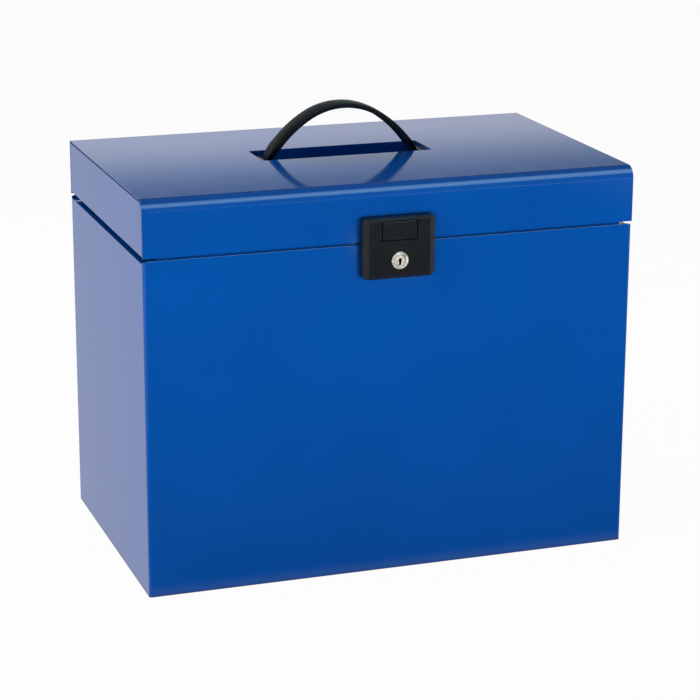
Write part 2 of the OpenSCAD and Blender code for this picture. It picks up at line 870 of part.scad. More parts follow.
module lid_wrap() {
  color(blue) difference() {
    prism_x(-side_x, side_x) difference() {
      lid_section(0, lid_z);
      lid_section(sheet_t, lid_z - past);
    }
    prism_z(lid_top - sheet_t - past, lid_top + past) recess_plan(0);
    tongue_slot(-past, sheet_t + past);
    hinge_holes(hinge_z + leaf_hole_z);
  }
}

// A pressed cap that closes one end of the lid, with a flange welded inside the wrapped sheet
module lid_end() {
  low = lid_z + end_rise;
  face = sheet_t + end_groove;
  color(blue) {
    prism_x(side_x - sheet_t, side_x) lid_section(face, low);
    prism_x(side_x - 2 * sheet_t, side_x - sheet_t) difference() {
      lid_section(sheet_t, low);
      lid_section(face + sheet_t, low - past);
    }
    prism_x(side_x - 2 * sheet_t - end_flange, side_x - 2 * sheet_t) difference() {
      lid_section(sheet_t, low);
      lid_section(2 * sheet_t, low - past);
    }
  }
}

module lid_end_right() {
  lid_end();
}

module lid_end_left() {
  mirror([1, 0, 0]) lid_end();
}

// The plate inside the lid's front: a slot for the tongue and a tab for the lock's hook
module lid_striker() {
  plate = strike_w / 2;
  tab = strike_tab_w / 2;
  color(zinc) difference() {
    at_latch() {
      block([-plate, sheet_t, seam_gap], [plate, sheet_t + strike_t, seam_gap + strike_h]);
      block([-tab, sheet_t, seam_gap], [tab, cam_back + 1, seam_gap + strike_t]);
    }
    tongue_slot(0, sheet_t + strike_t + past);
  }
}

// ---- handle ----

// Places a rivet of each pivot block, along x at the given span
module at_block_rivets(x0, x1, r) {
  for (sy = [-1, 1]) rod_x(x0, x1, handle_y + sy * block_rivet_y, pivot_z, r);
}

module handle_tray() {
  under = lid_top - sheet_t;
  end = recess_l / 2;
  color(blue) difference() {
    union() {
      prism_z(under - sheet_t, under) recess_plan(tray_flange);
      prism_z(floor_z - sheet_t, under) recess_plan(sheet_t);
    }
    prism_z(floor_z, lid_top + past) recess_plan(0);
    mirrored_pair() at_block_rivets(end - past, end + sheet_t + past, rivet_r + fit);
  }
}

// The black block at one end of the recess that carries the handle's pin
module pivot_block() {
  end = recess_l / 2;
  inner = end - block_t;
  color(black) difference() {
    intersection() {
      prism_z(floor_z, lid_top - block_drop) recess_plan(0);
      block([inner, handle_y - recess_w, floor_z - past], [end, handle_y + recess_w, lid_top]);
    }
    rod_x(inner - past, end - pin_end_wall, handle_y, pivot_z, handle_pin_r);
    at_block_rivets(end - block_rivet_grip, end + past, rivet_r);
  }
}

module pivot_block_right() {
  pivot_block();
}

module pivot_block_left() {
  mirror([1, 0, 0]) pivot_block();
}

module block_rivets() {
  wall = recess_l / 2 + sheet_t;
  color(zinc) mirrored_pair() {
    at_block_rivets(recess_l / 2 - block_rivet_grip, wall + weld, rivet_r);
    at_block_rivets(wall, wall + rivet_head_h, rivet_head_r);
  }
}

// The arched strap seen from the front, with z = 0 at the lid's top
module arch() {
  ring_sector([0, handle_h - crown_r], crown_r, crown_r - strap_t, -crown_angle, crown_angle);
  mirrored_pair() ring_sector(leg_centre, leg_r, leg_r - strap_t, crown_angle - 0.5, leg_angle);
}

// A point of the leg, at an angle from the vertical and this far below its outer face
function leg_point(angle, depth) = leg_centre + (leg_r - depth) * [sin(angle), cos(angle)];

// A foot seen from the front, from the end of the arch down to the pivot
module foot_outline() {
  polygon([
    leg_point(leg_angle - 1, strap_t),
    leg_point(leg_angle - 2, strap_t / 2),
    leg_point(leg_angle, 0),
    [foot_out_x, -pivot_drop / 2],
    [foot_out_x, -pivot_drop],
    [foot_in_x, -pivot_drop],
    [foot_in_x, -pivot_drop / 2]
  ]);
}

// The strap seen from above: it has one width that narrows close to the feet
module strap_plan() {
  wide_x = foot_out_x - leg_taper;
  half = [
    [foot_out_x, -leg_w / 2],
    [foot_out_x, leg_w / 2],
    [wide_x, grip_w / 2],
    [-wide_x, grip_w / 2]
  ];
  polygon(concat(half, [for (p = half) -p]));
}

module handle() {
  color(black) difference() {
    union() {
      intersection() {
        translate([0, 0, lid_top]) prism_y(handle_y - grip_w / 2, handle_y + grip_w / 2) {
          arch();
          mirrored_pair() foot_outline();
        }
        translate([0, handle_y, 0]) prism_z(pivot_z, lid_top + handle_h + past) strap_plan();
      }
      mirrored_pair() rod_x(foot_in_x, foot_out_x, handle_y, pivot_z, foot_r);
    }
    mirrored_pair() rod_x(foot_in_x - past, foot_out_x + past, handle_y, pivot_z, handle_pin_r + pin_play);
  }
}

module handle_pins() {
  color(zinc) mirrored_pair()
    rod_x(foot_in_x, recess_l / 2 - pin_end_wall, handle_y, pivot_z, handle_pin_r);
}

body_wrap();
bottom_pan();
rail_left();
rail_right();
front_neck();
hinge_body_leaf_left();
hinge_body_leaf_right();
hinge_lid_leaf_left();
hinge_lid_leaf_right();
hinge_pins();
body_hinge_rivets();
lid_hinge_rivets();
latch_housing();
latch_backplate();
latch_screws();
push_button();
catch_lever();
lever_pin();
catch_spring();
lock_barrel();
lock_nut();
lock_plug();
lock_cam();
cam_screw();
lid_wrap();
lid_end_left();
lid_end_right();
lid_striker();
handle_tray();
pivot_block_left();
pivot_block_right();
block_rivets();
handle();
handle_pins();
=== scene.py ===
"""Looks of the portable file box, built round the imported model."""

import json
import math

import bmesh
import bpy
from bpy.props import FloatProperty, FloatVectorProperty, PointerProperty
from mathutils import Matrix, Vector

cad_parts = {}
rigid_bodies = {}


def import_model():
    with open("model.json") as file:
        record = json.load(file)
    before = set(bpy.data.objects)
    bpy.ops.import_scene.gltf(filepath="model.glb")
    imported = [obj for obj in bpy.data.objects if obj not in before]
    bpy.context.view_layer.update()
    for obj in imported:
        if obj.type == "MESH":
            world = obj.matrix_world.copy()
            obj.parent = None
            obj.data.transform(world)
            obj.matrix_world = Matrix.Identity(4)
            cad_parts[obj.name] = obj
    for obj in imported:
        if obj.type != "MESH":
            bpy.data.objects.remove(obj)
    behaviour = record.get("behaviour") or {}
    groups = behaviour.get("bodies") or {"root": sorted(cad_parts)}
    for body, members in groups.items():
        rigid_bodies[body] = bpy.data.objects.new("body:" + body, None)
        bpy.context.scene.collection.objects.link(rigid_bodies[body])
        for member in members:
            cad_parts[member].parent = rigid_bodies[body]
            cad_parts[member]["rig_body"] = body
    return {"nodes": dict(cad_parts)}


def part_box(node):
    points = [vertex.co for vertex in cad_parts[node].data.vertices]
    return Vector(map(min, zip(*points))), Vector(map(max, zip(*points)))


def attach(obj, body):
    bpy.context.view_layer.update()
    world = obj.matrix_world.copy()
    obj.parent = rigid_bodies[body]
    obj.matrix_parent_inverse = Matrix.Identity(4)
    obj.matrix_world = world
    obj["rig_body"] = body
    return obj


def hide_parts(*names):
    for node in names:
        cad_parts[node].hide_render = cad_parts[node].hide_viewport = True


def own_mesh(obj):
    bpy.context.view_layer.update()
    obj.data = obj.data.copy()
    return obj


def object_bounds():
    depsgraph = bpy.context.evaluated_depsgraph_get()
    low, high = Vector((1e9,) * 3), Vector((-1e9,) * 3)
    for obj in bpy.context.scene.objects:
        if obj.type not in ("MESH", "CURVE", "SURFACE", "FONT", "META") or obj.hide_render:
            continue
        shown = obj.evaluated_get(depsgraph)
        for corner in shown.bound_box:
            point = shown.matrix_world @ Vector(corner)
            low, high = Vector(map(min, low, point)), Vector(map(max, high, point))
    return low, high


bl_info = {
    "name": "Portable File Box",
    "version": (1, 0, 0),
    "blender": (4, 5, 0),
    "location": "View3D > Sidebar > File Box",
    "description": "Enamelled sheet steel file box with a carrying handle and a lockable latch",
    "category": "Object",
}

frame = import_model()
CAD_LOW, CAD_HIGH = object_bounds()

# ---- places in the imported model, in metres ----

MM = 0.001
BOX_W = CAD_HIGH.x - CAD_LOW.x
LID_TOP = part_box("lid_wrap")[1].z
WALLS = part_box("body_wrap")[1]
RECESS_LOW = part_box("pivot_block_left")[0]
RECESS_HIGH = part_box("pivot_block_right")[1]
HANDLE_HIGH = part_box("handle")[1]
HANDLE_Y = (RECESS_LOW.y + RECESS_HIGH.y) / 2
PIVOT_Z = (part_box("handle_pins")[0].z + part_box("handle_pins")[1].z) / 2

# ---- sizes of the dressed pieces ----

# Points that lie this close are one point, and surfaces this close are one plane.
MERGE = 1e-6
CLOSE = 0.01 * MM
# Faces that turn by less than the first are one face; edges that turn by more than the others
# are rounded, on sheet and steel, on mouldings and on screws.
FLAT_ANGLE = math.radians(0.5)
SHARP_ANGLE = math.radians(30)
MOULD_ANGLE = math.radians(20)
SCREW_ANGLE = math.radians(40)
# A bevel weight of one stands for this radius.
WIDEST_BEVEL = 2 * MM
# The lower edge of the lid's front is lifted by this much, as far back as this from its face.
SEAM_LIFT = 0.7 * MM
FRONT_FOLD = 2 * MM
# The button's face is drawn in by this much; a point this near to a side belongs to it.
BUTTON_DRAFT = 0.45 * MM
BUTTON_SIDE = 2 * MM
# Radii of the edges of the pivot blocks, the lock's barrel and its plug.
BLOCK_EDGE = 0.6 * MM
BARREL_EDGE = 0.3 * MM
PLUG_EDGE = 0.25 * MM

# Hinge rivets: sheet and leaf together, how deep in the leaf its middle lies, and their spacing.
HINGE_GRIP = 1.8 * MM
GRIP_DEPTH = 0.1 * MM
RIVET_SPACING = 30 * MM
# Rivets of the pivot blocks: height of the head, grip, tail, distance from the block's ends.
BLOCK_HEAD = 1.1 * MM
BLOCK_GRIP = 3 * MM
BLOCK_TAIL_RADIUS, BLOCK_TAIL_HEIGHT = 1.5 * MM, 0.1 * MM
BLOCK_INSET = 3 * MM
# The screws of the latch and of the cam: their body, their places across, the head's radius and
# height, and the shank's radius.
LATCH_SCREW_X = 18.5 * MM
SCREWS = {
    "latch_screws": ("box", (-LATCH_SCREW_X, LATCH_SCREW_X), 2.8 * MM, 1.8 * MM, 1.4 * MM),
    "cam_screw": ("key_plug", (0,), 3.4 * MM, 1.6 * MM, 0.9 * MM),
}

# The strap's crown spans twice this angle, and its legs end this far inside the feet.
CROWN_BEND = math.radians(30)
LEG_INSET = 2.2 * MM
FOOT_THICKNESS = 4.7 * MM
FOOT_RADIUS = 5.5 * MM
FOOT_TURN = math.radians(88)
# The grip's section begins this high above the lid and is whole after this rise.
GRIP_START = 4 * MM
GRIP_RUN = 8 * MM
# Its section: how much it is crowned, the radius of its edges, the slope of a step, the rib.
GRIP_CROWN = 0.25 * MM
STRAP_EDGE = 0.6 * MM
STEP_SLOPE = 0.3 * MM
RIB_WIDTH = 2.0 * MM
STRAP_ANGLE = math.radians(34)
# Sections along the crown, the leg, its root, the neck and the foot.
CROWN_STEPS, LEG_STEPS, ROOT_STEPS, NECK_STEPS, FOOT_STEPS = 12, 15, 4, 2, 9

# ---- the stage, in metres ----

FLOOR_REACH = 6.0
FLOOR_BACK = 2.6
FLOOR_CURVE = 0.9
BACKDROP_TOP = 4.0
# How much of the paper's own white shows; the rest is its answer to the lamps.
PAPER_WHITE = 0.955
# The dark patch under the box ends this far inside its walls.
UNDER_WALLS = 0.2 * MM
# Where the middle of the floor that mirrors see as dark lies across.
FLOOR_MIDDLE = 0.17
# The white patch of floor that the lock's ring mirrors: its middle, its half widths, its level.
LOCK_CARD = (0.327, -1.03, 0.0)
LOCK_CARD_SIZE = (0.036, 0.085, 1.0)
LOCK_CARD_LEVEL = 2.4
# The card behind the lid: its ends, how far behind it stands, and its edges from the lid's top.
BACK_CARD_X = (-0.9, 1.1)
BACK_CARD_Y = 0.45
BACK_CARD_Z = (-0.015, 0.25)
# The card high in front: its middle and its half width and height.
SOFT_CARD = (0.46, -0.87, 1.43)
SOFT_CARD_SIZE = (0.9, 0.72)
# Each lamp: its place, what it points at, its width and its height.
LAMPS = {
    "front_light": ((0.1, -0.44, 0.25), (0.1, -0.1, 0.24), 1.4, 0.05),
    "side_light": ((-2.2, -0.4, 1.0), (0, 0, 0.15), 1.2, 1.2),
    "right_light": ((2.2, -0.3, 0.9), (0, 0, 0.15), 1.2, 1.2),
    "back_light": ((-0.3, 0.8, 1.1), (0, 0, 0.25), 1.4, 0.6),
}
MIRRORED_SKY = 0.15
# The camera: azimuth, elevation and roll in degrees, focal length and picture in pixels, and
# its place backwards, to the right and upwards, in widths of the box.
CAMERA_TURN = (-19.12, 16.43, 0.23)
FOCAL_PX, PICTURE_PX = 2399.7, 700
CAMERA_PLACE = (5.075, 0.013, 0.355)
SENSOR = 36


# ---- small tools ----


def linear(hex_colour):
    """An sRGB hex colour as the linear colour that a shader takes."""
    shares = [int(hex_colour[i : i + 2], 16) / 255 for i in (1, 3, 5)]
    return tuple(s / 12.92 if s <= 0.04045 else ((s + 0.055) / 1.055) ** 2.4 for s in shares)


def add_node(tree, kind, settings=None, inputs=None):
    """Adds a node; an input takes a value, the socket that feeds it, or a list of sockets."""
    made = tree.nodes.new(kind)
    for name, value in (settings or {}).items():
        setattr(made, name, value)
    for key, value in (inputs or {}).items():
        if isinstance(value, (bpy.types.NodeSocket, list)):
            for source in value if isinstance(value, list) else [value]:
                tree.links.new(source, made.inputs[key])
        else:
            made.inputs[key].default_value = value
    return made


def linked(name, data):
    """An object that holds a mesh, a lamp or a camera, linked into the scene."""
    made = bpy.data.objects.new(name, data)
    bpy.context.scene.collection.objects.link(made)
    return made


def new_material(name, shade):
    """A material; shade fills its empty tree and returns the node for its surface."""
    made = bpy.data.materials.new(name)
    made.use_nodes = True
    made.node_tree.nodes.clear()
    surface = shade(made.node_tree).outputs[0]
    add_node(made.node_tree, "ShaderNodeOutputMaterial", inputs={"Surface": surface})
    return made


def new_piece(name, mesh, body, finish, *nodes):
    """Links a finished mesh as a piece that rides on a body and stands for CAD nodes."""
    piece = linked(name, mesh)
    mesh.materials.clear()
    mesh.materials.append(material(finish))
    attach(piece, body)
    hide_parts(*nodes)
    return piece


def plain_mesh(name, work):
    """A mesh of only the points and faces of a bmesh, shaded smooth; the bmesh is freed."""
    work.verts.index_update()
    mesh = bpy.data.meshes.new(name)
    faces = [[v.index for v in f.verts] for f in work.faces]
    mesh.from_pydata([v.co[:] for v in work.verts], [], faces)
    mesh.shade_smooth()
    work.free()
    return mesh


def flat_faced(name, source):
    """A mesh's shape with its doubles merged and its triangles joined into flat faces."""
    work = bmesh.new()
    work.from_mesh(source)
    bmesh.ops.remove_doubles(work, verts=work.verts, dist=MERGE)
    bmesh.ops.dissolve_limit(
        work, angle_limit=FLAT_ANGLE, verts=work.verts[:], edges=work.edges[:]
    )
    return plain_mesh(name, work)


def merged(node):
    """The CAD node's shape as a mesh of its own."""
    return flat_faced(node + "_shape", frame["nodes"][node].data)


def evaluated(made):
    """What an object's modifiers make of it, as a plain mesh."""
    bpy.context.view_layer.update()
    depsgraph = bpy.context.evaluated_depsgraph_get()
    return bpy.data.meshes.new_from_object(made.evaluated_get(depsgraph))


def rounded(piece, width, segments, limit):
    """Adds the bevel that rounds a piece's edges, and keeps its flats flat."""
    bevel = piece.modifiers.new("rounded edges", "BEVEL")
    bevel.width = width
    bevel.segments = segments
    bevel.limit_method = limit
    bevel.miter_outer = "MITER_ARC"
    piece.modifiers.new("flat faces", "WEIGHTED_NORMAL").keep_sharp = True
    return bevel


def soften(piece, width, segments=2, angle=SHARP_ANGLE):
    """Rounds every edge that turns by more than the angle."""
    rounded(piece, width, segments, "ANGLE").angle_limit = angle


def softened_copy(node, name, finish, width, segments=2, angle=SHARP_ANGLE):
    """A CAD node's shape with rounded edges, as a piece that stands for the node."""
    piece = new_piece(name, merged(node), frame["nodes"][node]["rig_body"], finish, node)
    soften(piece, width, segments, angle)
    return piece


# ---- finishes ----


def patches(tree, coords, size, low, high, detail=2.0, roughness=0.5):
    """A value that drifts between two levels in patches of about this size."""
    cloud = add_node(
        tree,
        "ShaderNodeTexNoise",
        inputs={"Vector": coords, "Scale": 1 / size, "Detail": detail, "Roughness": roughness},
    ).outputs["Fac"]
    # Most of a noise lies between these two values.
    middle = {"Value": cloud, "From Min": 0.3, "From Max": 0.7, "To Min": low, "To Max": high}
    return add_node(tree, "ShaderNodeMapRange", inputs=middle).outputs["Result"]


def clouded(tree, coords, colour, spread, size, detail=2.0, roughness=0.5):
    """A colour that is this share darker in some patches and this share lighter in others."""
    inputs = {
        0: patches(tree, coords, size, 0, 1, detail, roughness),
        6: (*(c * (1 - spread) for c in colour), 1),
        7: (*(c * (1 + spread) for c in colour), 1),
    }
    return add_node(tree, "ShaderNodeMix", {"data_type": "RGBA"}, inputs).outputs[2]


def grained(tree, coords, size, strength, depth, detail=2.0, **under):
    """A normal that leans with an uneven grain of this size and depth."""
    grain = add_node(
        tree,
        "ShaderNodeTexNoise",
        inputs={"Vector": coords, "Scale": 1 / size, "Detail": detail, "Roughness": 0.5},
    ).outputs["Fac"]
    inputs = {"Height": grain, "Strength": strength, "Distance": depth, **under}
    return add_node(tree, "ShaderNodeBump", inputs=inputs).outputs["Normal"]


def stoved_enamel(tree):
    """Alkyd enamel sprayed on sheet steel and baked: deep glossy blue with a faint orange peel."""
    paint = bpy.context.scene.filebox_paint
    coords = add_node(tree, "ShaderNodeTexCoord").outputs["Object"]
    # The film is a little thicker in some places, which shifts its colour by a few per cent.
    enamel = bpy.context.scene.filebox_colours.enamel
    film = clouded(tree, coords, enamel, 0.05, size=90 * MM, detail=3.0)
    # Painted shade: an ambient-occlusion node darkens the enamel's colour within the last few mm of
    # every seam and gap, where shade falls.
    seams = {"Color": film, "Distance": paint.seam}
    colour = add_node(tree, "ShaderNodeAmbientOcclusion", {"samples": 4}, seams).outputs["Color"]
    # Handling leaves areas that are slightly less glossy.
    least, most = paint.roughness - 0.015, paint.roughness + 0.02
    rough = patches(tree, coords, 35 * MM, least, most, detail=4.0, roughness=0.6)
    # Orange peel of sprayed enamel is 2 to 4 mm wide and a few thousandths of a millimetre deep.
    peel = grained(tree, coords, 2.6 * MM, paint.peel, depth=0.004 * MM, detail=1.0)
    # Rolled sheet is never quite flat: waves about 70 mm long.
    normal = grained(tree, coords, 70 * MM, 0.5, depth=0.12 * MM, detail=1.0, Normal=peel)
    inputs = {"Base Color": colour, "Roughness": rough, "IOR": 1.5, "Normal": normal}
    return add_node(tree, "ShaderNodeBsdfPrincipled", inputs=inputs)


def moulded_abs(tree):
    """Black ABS from a finely spark-eroded mould: a soft sheen that breaks up at tenths of a mm."""
    coords = add_node(tree, "ShaderNodeTexCoord").outputs["Object"]
    plastic = bpy.context.scene.filebox_colours.plastic
    film = clouded(tree, coords, plastic, 0.15, size=20 * MM, detail=3.0)
    # Painted shade: an ambient-occlusion node darkens the plastic's colour within 1.5 mm of its
    # gaps, so these look deeper than the faces.
    gaps = {"Color": film, "Distance": 1.5 * MM}
    colour = add_node(tree, "ShaderNodeAmbientOcclusion", {"samples": 4}, gaps).outputs["Color"]
    rough = patches(tree, coords, 12 * MM, 0.22, 0.32, detail=3.0, roughness=0.6)
    # The grain is 0.15 mm on the mould; it is drawn 0.45 mm wide so that it shows at all.
    normal = grained(tree, coords, 0.45 * MM, 0.35, depth=0.02 * MM)
    inputs = {"Base Color": colour, "Roughness": rough, "IOR": 1.53, "Normal": normal}
    return add_node(tree, "ShaderNodeBsdfPrincipled", inputs=inputs)


def moulded_polypropylene(tree):
    """Black polypropylene from a coarser mould: dull and waxy, with worn streaks along it."""
    coords = add_node(tree, "ShaderNodeTexCoord").outputs["Object"]
    # It is duller and darker than the latch's plastic.
    dark = [0.6 * c for c in bpy.context.scene.filebox_colours.plastic]
    colour = clouded(tree, coords, dark, 0.2, size=9 * MM, detail=4.0, roughness=0.6)
    # Hands polish it in streaks that run along the strap.
    stretch = {"Vector": coords, "Scale": (0.15, 1.0, 0.15)}
    along = add_node(tree, "ShaderNodeMapping", inputs=stretch).outputs[0]
    rough = patches(tree, along, 1.2 * MM, 0.28, 0.5, detail=3.0, roughness=0.6)
    # The leather grain of the mould has cells of about 0.8 mm.
    cells = {"Vector": coords, "Scale": 1 / (0.8 * MM)}
    grain = add_node(tree, "ShaderNodeTexVoronoi", {"feature": "F1"}, cells).outputs["Distance"]
    leather = {"Height": grain, "Strength": 0.8, "Distance": 0.09 * MM}
    inputs = {
        "Base Color": colour,
        "Roughness": rough,
        "IOR": 1.49,
        "Specular IOR Level": 0.3,
        "Normal": add_node(tree, "ShaderNodeBump", inputs=leather).outputs["Normal"],
    }
    return add_node(tree, "ShaderNodeBsdfPrincipled", inputs=inputs)


def nickel_plate(tree):
    """Bright nickel on a turned brass barrel: a warm mirror with faint turning rings."""
    axis = (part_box("lock_barrel")[0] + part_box("lock_barrel")[1]) / 2
    coords = add_node(tree, "ShaderNodeTexCoord").outputs["Object"]
    centre = {"Vector": coords, "Location": -axis}
    centred = add_node(tree, "ShaderNodeMapping", inputs=centre).outputs[0]
    tone = clouded(tree, coords, bpy.context.scene.filebox_colours.nickel, 0.07, size=4 * MM)
    rough = patches(tree, coords, 1.5 * MM, 0.07, 0.15, detail=3.0)
    # Rings of the lathe tool, 0.35 mm apart; a wave texture has 20 rings to its unit.
    rings = add_node(
        tree,
        "ShaderNodeTexWave",
        {"wave_type": "RINGS", "rings_direction": "Y"},
        {"Vector": centred, "Scale": 1 / (0.35 * MM) / 20, "Distortion": 0.4, "Detail": 1.0},
    ).outputs["Fac"]
    turned = {"Height": rings, "Strength": 0.25, "Distance": 0.01 * MM}
    normal = add_node(tree, "ShaderNodeBump", inputs=turned).outputs["Normal"]
    inputs = {"Base Color": tone, "Metallic": 1.0, "Roughness": rough, "Normal": normal}
    return add_node(tree, "ShaderNodeBsdfPrincipled", inputs=inputs)


def zinc_plate(tree):
    """Bright zinc plate on pressed steel: bluish grey, cloudy, with fine rolling marks under it."""
    coords = add_node(tree, "ShaderNodeTexCoord").outputs["Object"]
    zinc = bpy.context.scene.filebox_colours.zinc
    tone = clouded(tree, coords, zinc, 0.1, size=6 * MM, detail=4.0, roughness=0.6)
    rough = patches(tree, coords, 3 * MM, 0.28, 0.42, detail=3.0)
    # Rolling marks run along the strip, 0.4 mm apart.
    stretch = {"Vector": coords, "Scale": (0.04, 1.0, 1.0)}
    along = add_node(tree, "ShaderNodeMapping", inputs=stretch).outputs[0]
    normal = grained(tree, along, 0.4 * MM, 0.3, depth=0.01 * MM)
    inputs = {"Base Color": tone, "Metallic": 1.0, "Roughness": rough, "Normal": normal}
    return add_node(tree, "ShaderNodeBsdfPrincipled", inputs=inputs)


# Each finish: its slot, the name of its material and what shades it.
FINISHES = {
    "enamel": ("blue_enamel", "stoved_enamel_on_steel", stoved_enamel),
    "plastic": ("black_plastic", "moulded_abs", moulded_abs),
    "strap": ("black_plastic", "moulded_polypropylene", moulded_polypropylene),
    "nickel": ("nickel", "polished_nickel_plate", nickel_plate),
    "zinc": ("zinc_steel", "bright_zinc_plate", zinc_plate),
}


def material(finish):
    """The finish's material, made when it is first asked for."""
    _, name, shade = FINISHES[finish]
    return bpy.data.materials.get(name) or new_material(name, shade)


# ---- what a user may change ----


class FileBoxColours(bpy.types.PropertyGroup):
    """Colours of the finishes"""

    enamel: FloatVectorProperty(
        name="Enamel",
        description="Colour of the painted sheets",
        subtype="COLOR",
        default=linear("#004C9F"),
    )
    plastic: FloatVectorProperty(
        name="Plastic",
        description="Colour of the moulded parts",
        subtype="COLOR",
        default=linear("#121619"),
    )
    nickel: FloatVectorProperty(
        name="Nickel",
        description="Colour of the lock's plating",
        subtype="COLOR",
        default=linear("#D1CEC5"),
    )
    zinc: FloatVectorProperty(
        name="Zinc",
        description="Colour of the plated steel",
        subtype="COLOR",
        default=linear("#B4B8BB"),
    )


class FileBoxPaint(bpy.types.PropertyGroup):
    """Gloss and texture of the enamel"""

    roughness: FloatProperty(
        name="Enamel roughness",
        description="Roughness of the blue enamel",
        default=0.07,
        min=0.02,
        max=0.6,
    )
    peel: FloatProperty(
        name="Orange peel",
        description="Strength of the enamel's orange peel",
        default=0.5,
        min=0,
        max=1,
    )
    # Painted shade: the width over which ambient occlusion darkens the enamel's colour in seams and
    # gaps.
    seam: FloatProperty(
        name="Seam shade",
        description="Width of the darker film in the seams",
        default=3 * MM,
        subtype="DISTANCE",
    )


class FileBoxEdges(bpy.types.PropertyGroup):
    """Radii of the rounded edges"""

    sheet: FloatProperty(
        name="Sheet edges",
        description="Radius of painted sheet edges",
        default=0.3 * MM,
        subtype="DISTANCE",
    )
    cap: FloatProperty(
        name="End caps",
        description="Radius of the end caps' drawn edges",
        default=0.75 * MM,
        subtype="DISTANCE",
    )
    lip: FloatProperty(
        name="Recess lip",
        description="Radius of the recess's pressed lip",
        default=1.4 * MM,
        subtype="DISTANCE",
    )
    plastic: FloatProperty(
        name="Plastic edges",
        description="Radius of moulded edges",
        default=0.5 * MM,
        subtype="DISTANCE",
    )
    metal: FloatProperty(
        name="Metal edges",
        description="Radius of pressed and turned edges",
        default=0.15 * MM,
        subtype="DISTANCE",
    )


class FileBoxHandle(bpy.types.PropertyGroup):
    """Sizes of the handle's strap"""

    crown_radius: FloatProperty(
        name="Crown radius",
        description="Outside radius of the arch's crown",
        default=55 * MM,
        subtype="DISTANCE",
    )
    thickness: FloatProperty(
        name="Strap thickness",
        description="Thickness of the strap",
        default=4.2 * MM,
        subtype="DISTANCE",
    )
    grip_width: FloatProperty(
        name="Grip width", description="Width of the grip", default=18 * MM, subtype="DISTANCE"
    )
    leg_width: FloatProperty(
        name="Leg width",
        description="Width of the legs at the feet",
        default=10 * MM,
        subtype="DISTANCE",
    )
    taper: FloatProperty(
        name="Taper",
        description="Distance over which a leg narrows",
        default=6.5 * MM,
        subtype="DISTANCE",
    )
    band: FloatProperty(
        name="Edge band",
        description="Width of the plain band along the edges",
        default=2.4 * MM,
        subtype="DISTANCE",
    )
    step: FloatProperty(
        name="Edge step",
        description="Depth of that band below the grip",
        default=0.4 * MM,
        subtype="DISTANCE",
    )
    channel: FloatProperty(
        name="Channel",
        description="Depth of the hollow under the grip",
        default=1.4 * MM,
        subtype="DISTANCE",
    )


class FileBoxStage(bpy.types.PropertyGroup):
    """Levels of the stage's cards and lamps"""

    soft_card: FloatProperty(
        name="Soft card", description="Level of the mirrored front card", default=4.2, min=0
    )
    front_light: FloatProperty(
        name="Front light", description="Power of the light in front", default=2.45, min=0
    )
    side_light: FloatProperty(
        name="Side light", description="Power of the light at the left", default=27.0, min=0
    )
    right_light: FloatProperty(
        name="Right light", description="Power of the light at the right", default=14.0, min=0
    )
    back_light: FloatProperty(
        name="Back light", description="Power of the light behind", default=11.0, min=0
    )
    ambient: FloatProperty(
        name="Ambient", description="Level of the surrounding light", default=0.11, min=0
    )


# ---- sheet metal ----


class FILEBOX_OT_body(bpy.types.Operator):
    """Makes the painted sheets of the body: walls, bottom pan, file rails and inner strips"""

    bl_idname = "filebox.body"
    bl_label = "Body sheets"

    def execute(self, context):
        width = context.scene.filebox_edges.sheet
        for node in ("body_wrap", "bottom_pan", "rail_left", "rail_right", "front_neck"):
            softened_copy(node, node + "_sheet", "enamel", width, 3)
        return {"FINISHED"}


class FILEBOX_OT_lid(bpy.types.Operator):
    """Makes the lid's skin with its pressed recess, and its two end caps"""

    bl_idname = "filebox.lid"
    bl_label = "Lid sheets"

    def execute(self, context):
        edges = context.scene.filebox_edges

        def skin_radius(mid, level):
            return edges.lip if level and at_lip(mid) else edges.sheet

        def cap_radius(mid, level):
            return edges.cap if abs(mid.x) > BOX_W / 2 - CLOSE else edges.sheet

        skin = new_piece("lid_skin", joined_lid(), "lid", "enamel", "lid_wrap", "handle_tray")
        raise_front_edge(skin.data)
        soften_weighed(skin, skin_radius)
        for node in ("lid_end_left", "lid_end_right"):
            cap = new_piece(node + "_cap", merged(node), "lid", "enamel", node)
            soften_weighed(cap, cap_radius)
        return {"FINISHED"}


def raise_front_edge(mesh):
    """Lifts the lower edge of the lid's front a little, as the folded sheet leaves a wider seam."""
    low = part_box("lid_wrap")[0]
    for point in mesh.vertices:
        if point.co.z < low.z + CLOSE and point.co.y < low.y + FRONT_FOLD:
            point.co.z += SEAM_LIFT


def joined_lid():
    """The lid's wrapped sheet and the tray under it as one skin, as pressed from one blank."""
    parts = [linked(node + "_part", merged(node)) for node in ("lid_wrap", "handle_tray")]
    union = parts[0].modifiers.new("union", "BOOLEAN")
    union.operation = "UNION"
    union.solver = "EXACT"
    union.object = parts[1]
    mesh = flat_faced("lid_skin", evaluated(parts[0]))
    for part in parts:
        bpy.data.objects.remove(part)
    return mesh


def at_lip(mid):
    """Whether a point lies on the recess's upper rim or on the rim of its floor."""
    inside = (
        RECESS_LOW.x - MM < mid.x < RECESS_HIGH.x + MM
        and RECESS_LOW.y - MM < mid.y < RECESS_HIGH.y + MM
    )
    return inside and min(abs(mid.z - LID_TOP), abs(mid.z - RECESS_LOW.z)) < CLOSE


def soften_weighed(piece, radius_at):
    """Rounds each sharp edge by the radius that its middle and its being level ask for."""
    weights = piece.data.attributes.new("bevel_weight_edge", "FLOAT", "EDGE")
    work = bmesh.new()
    work.from_mesh(piece.data)
    for edge in work.edges:
        if len(edge.link_faces) == 2 and edge.calc_face_angle(0) > SHARP_ANGLE:
            first, last = (v.co for v in edge.verts)
            level = abs(first.z - last.z) < MERGE
            weights.data[edge.index].value = radius_at((first + last) / 2, level) / WIDEST_BEVEL
    work.free()
    rounded(piece, WIDEST_BEVEL, 4, "WEIGHT")


# ---- hinges, rivets and screws ----


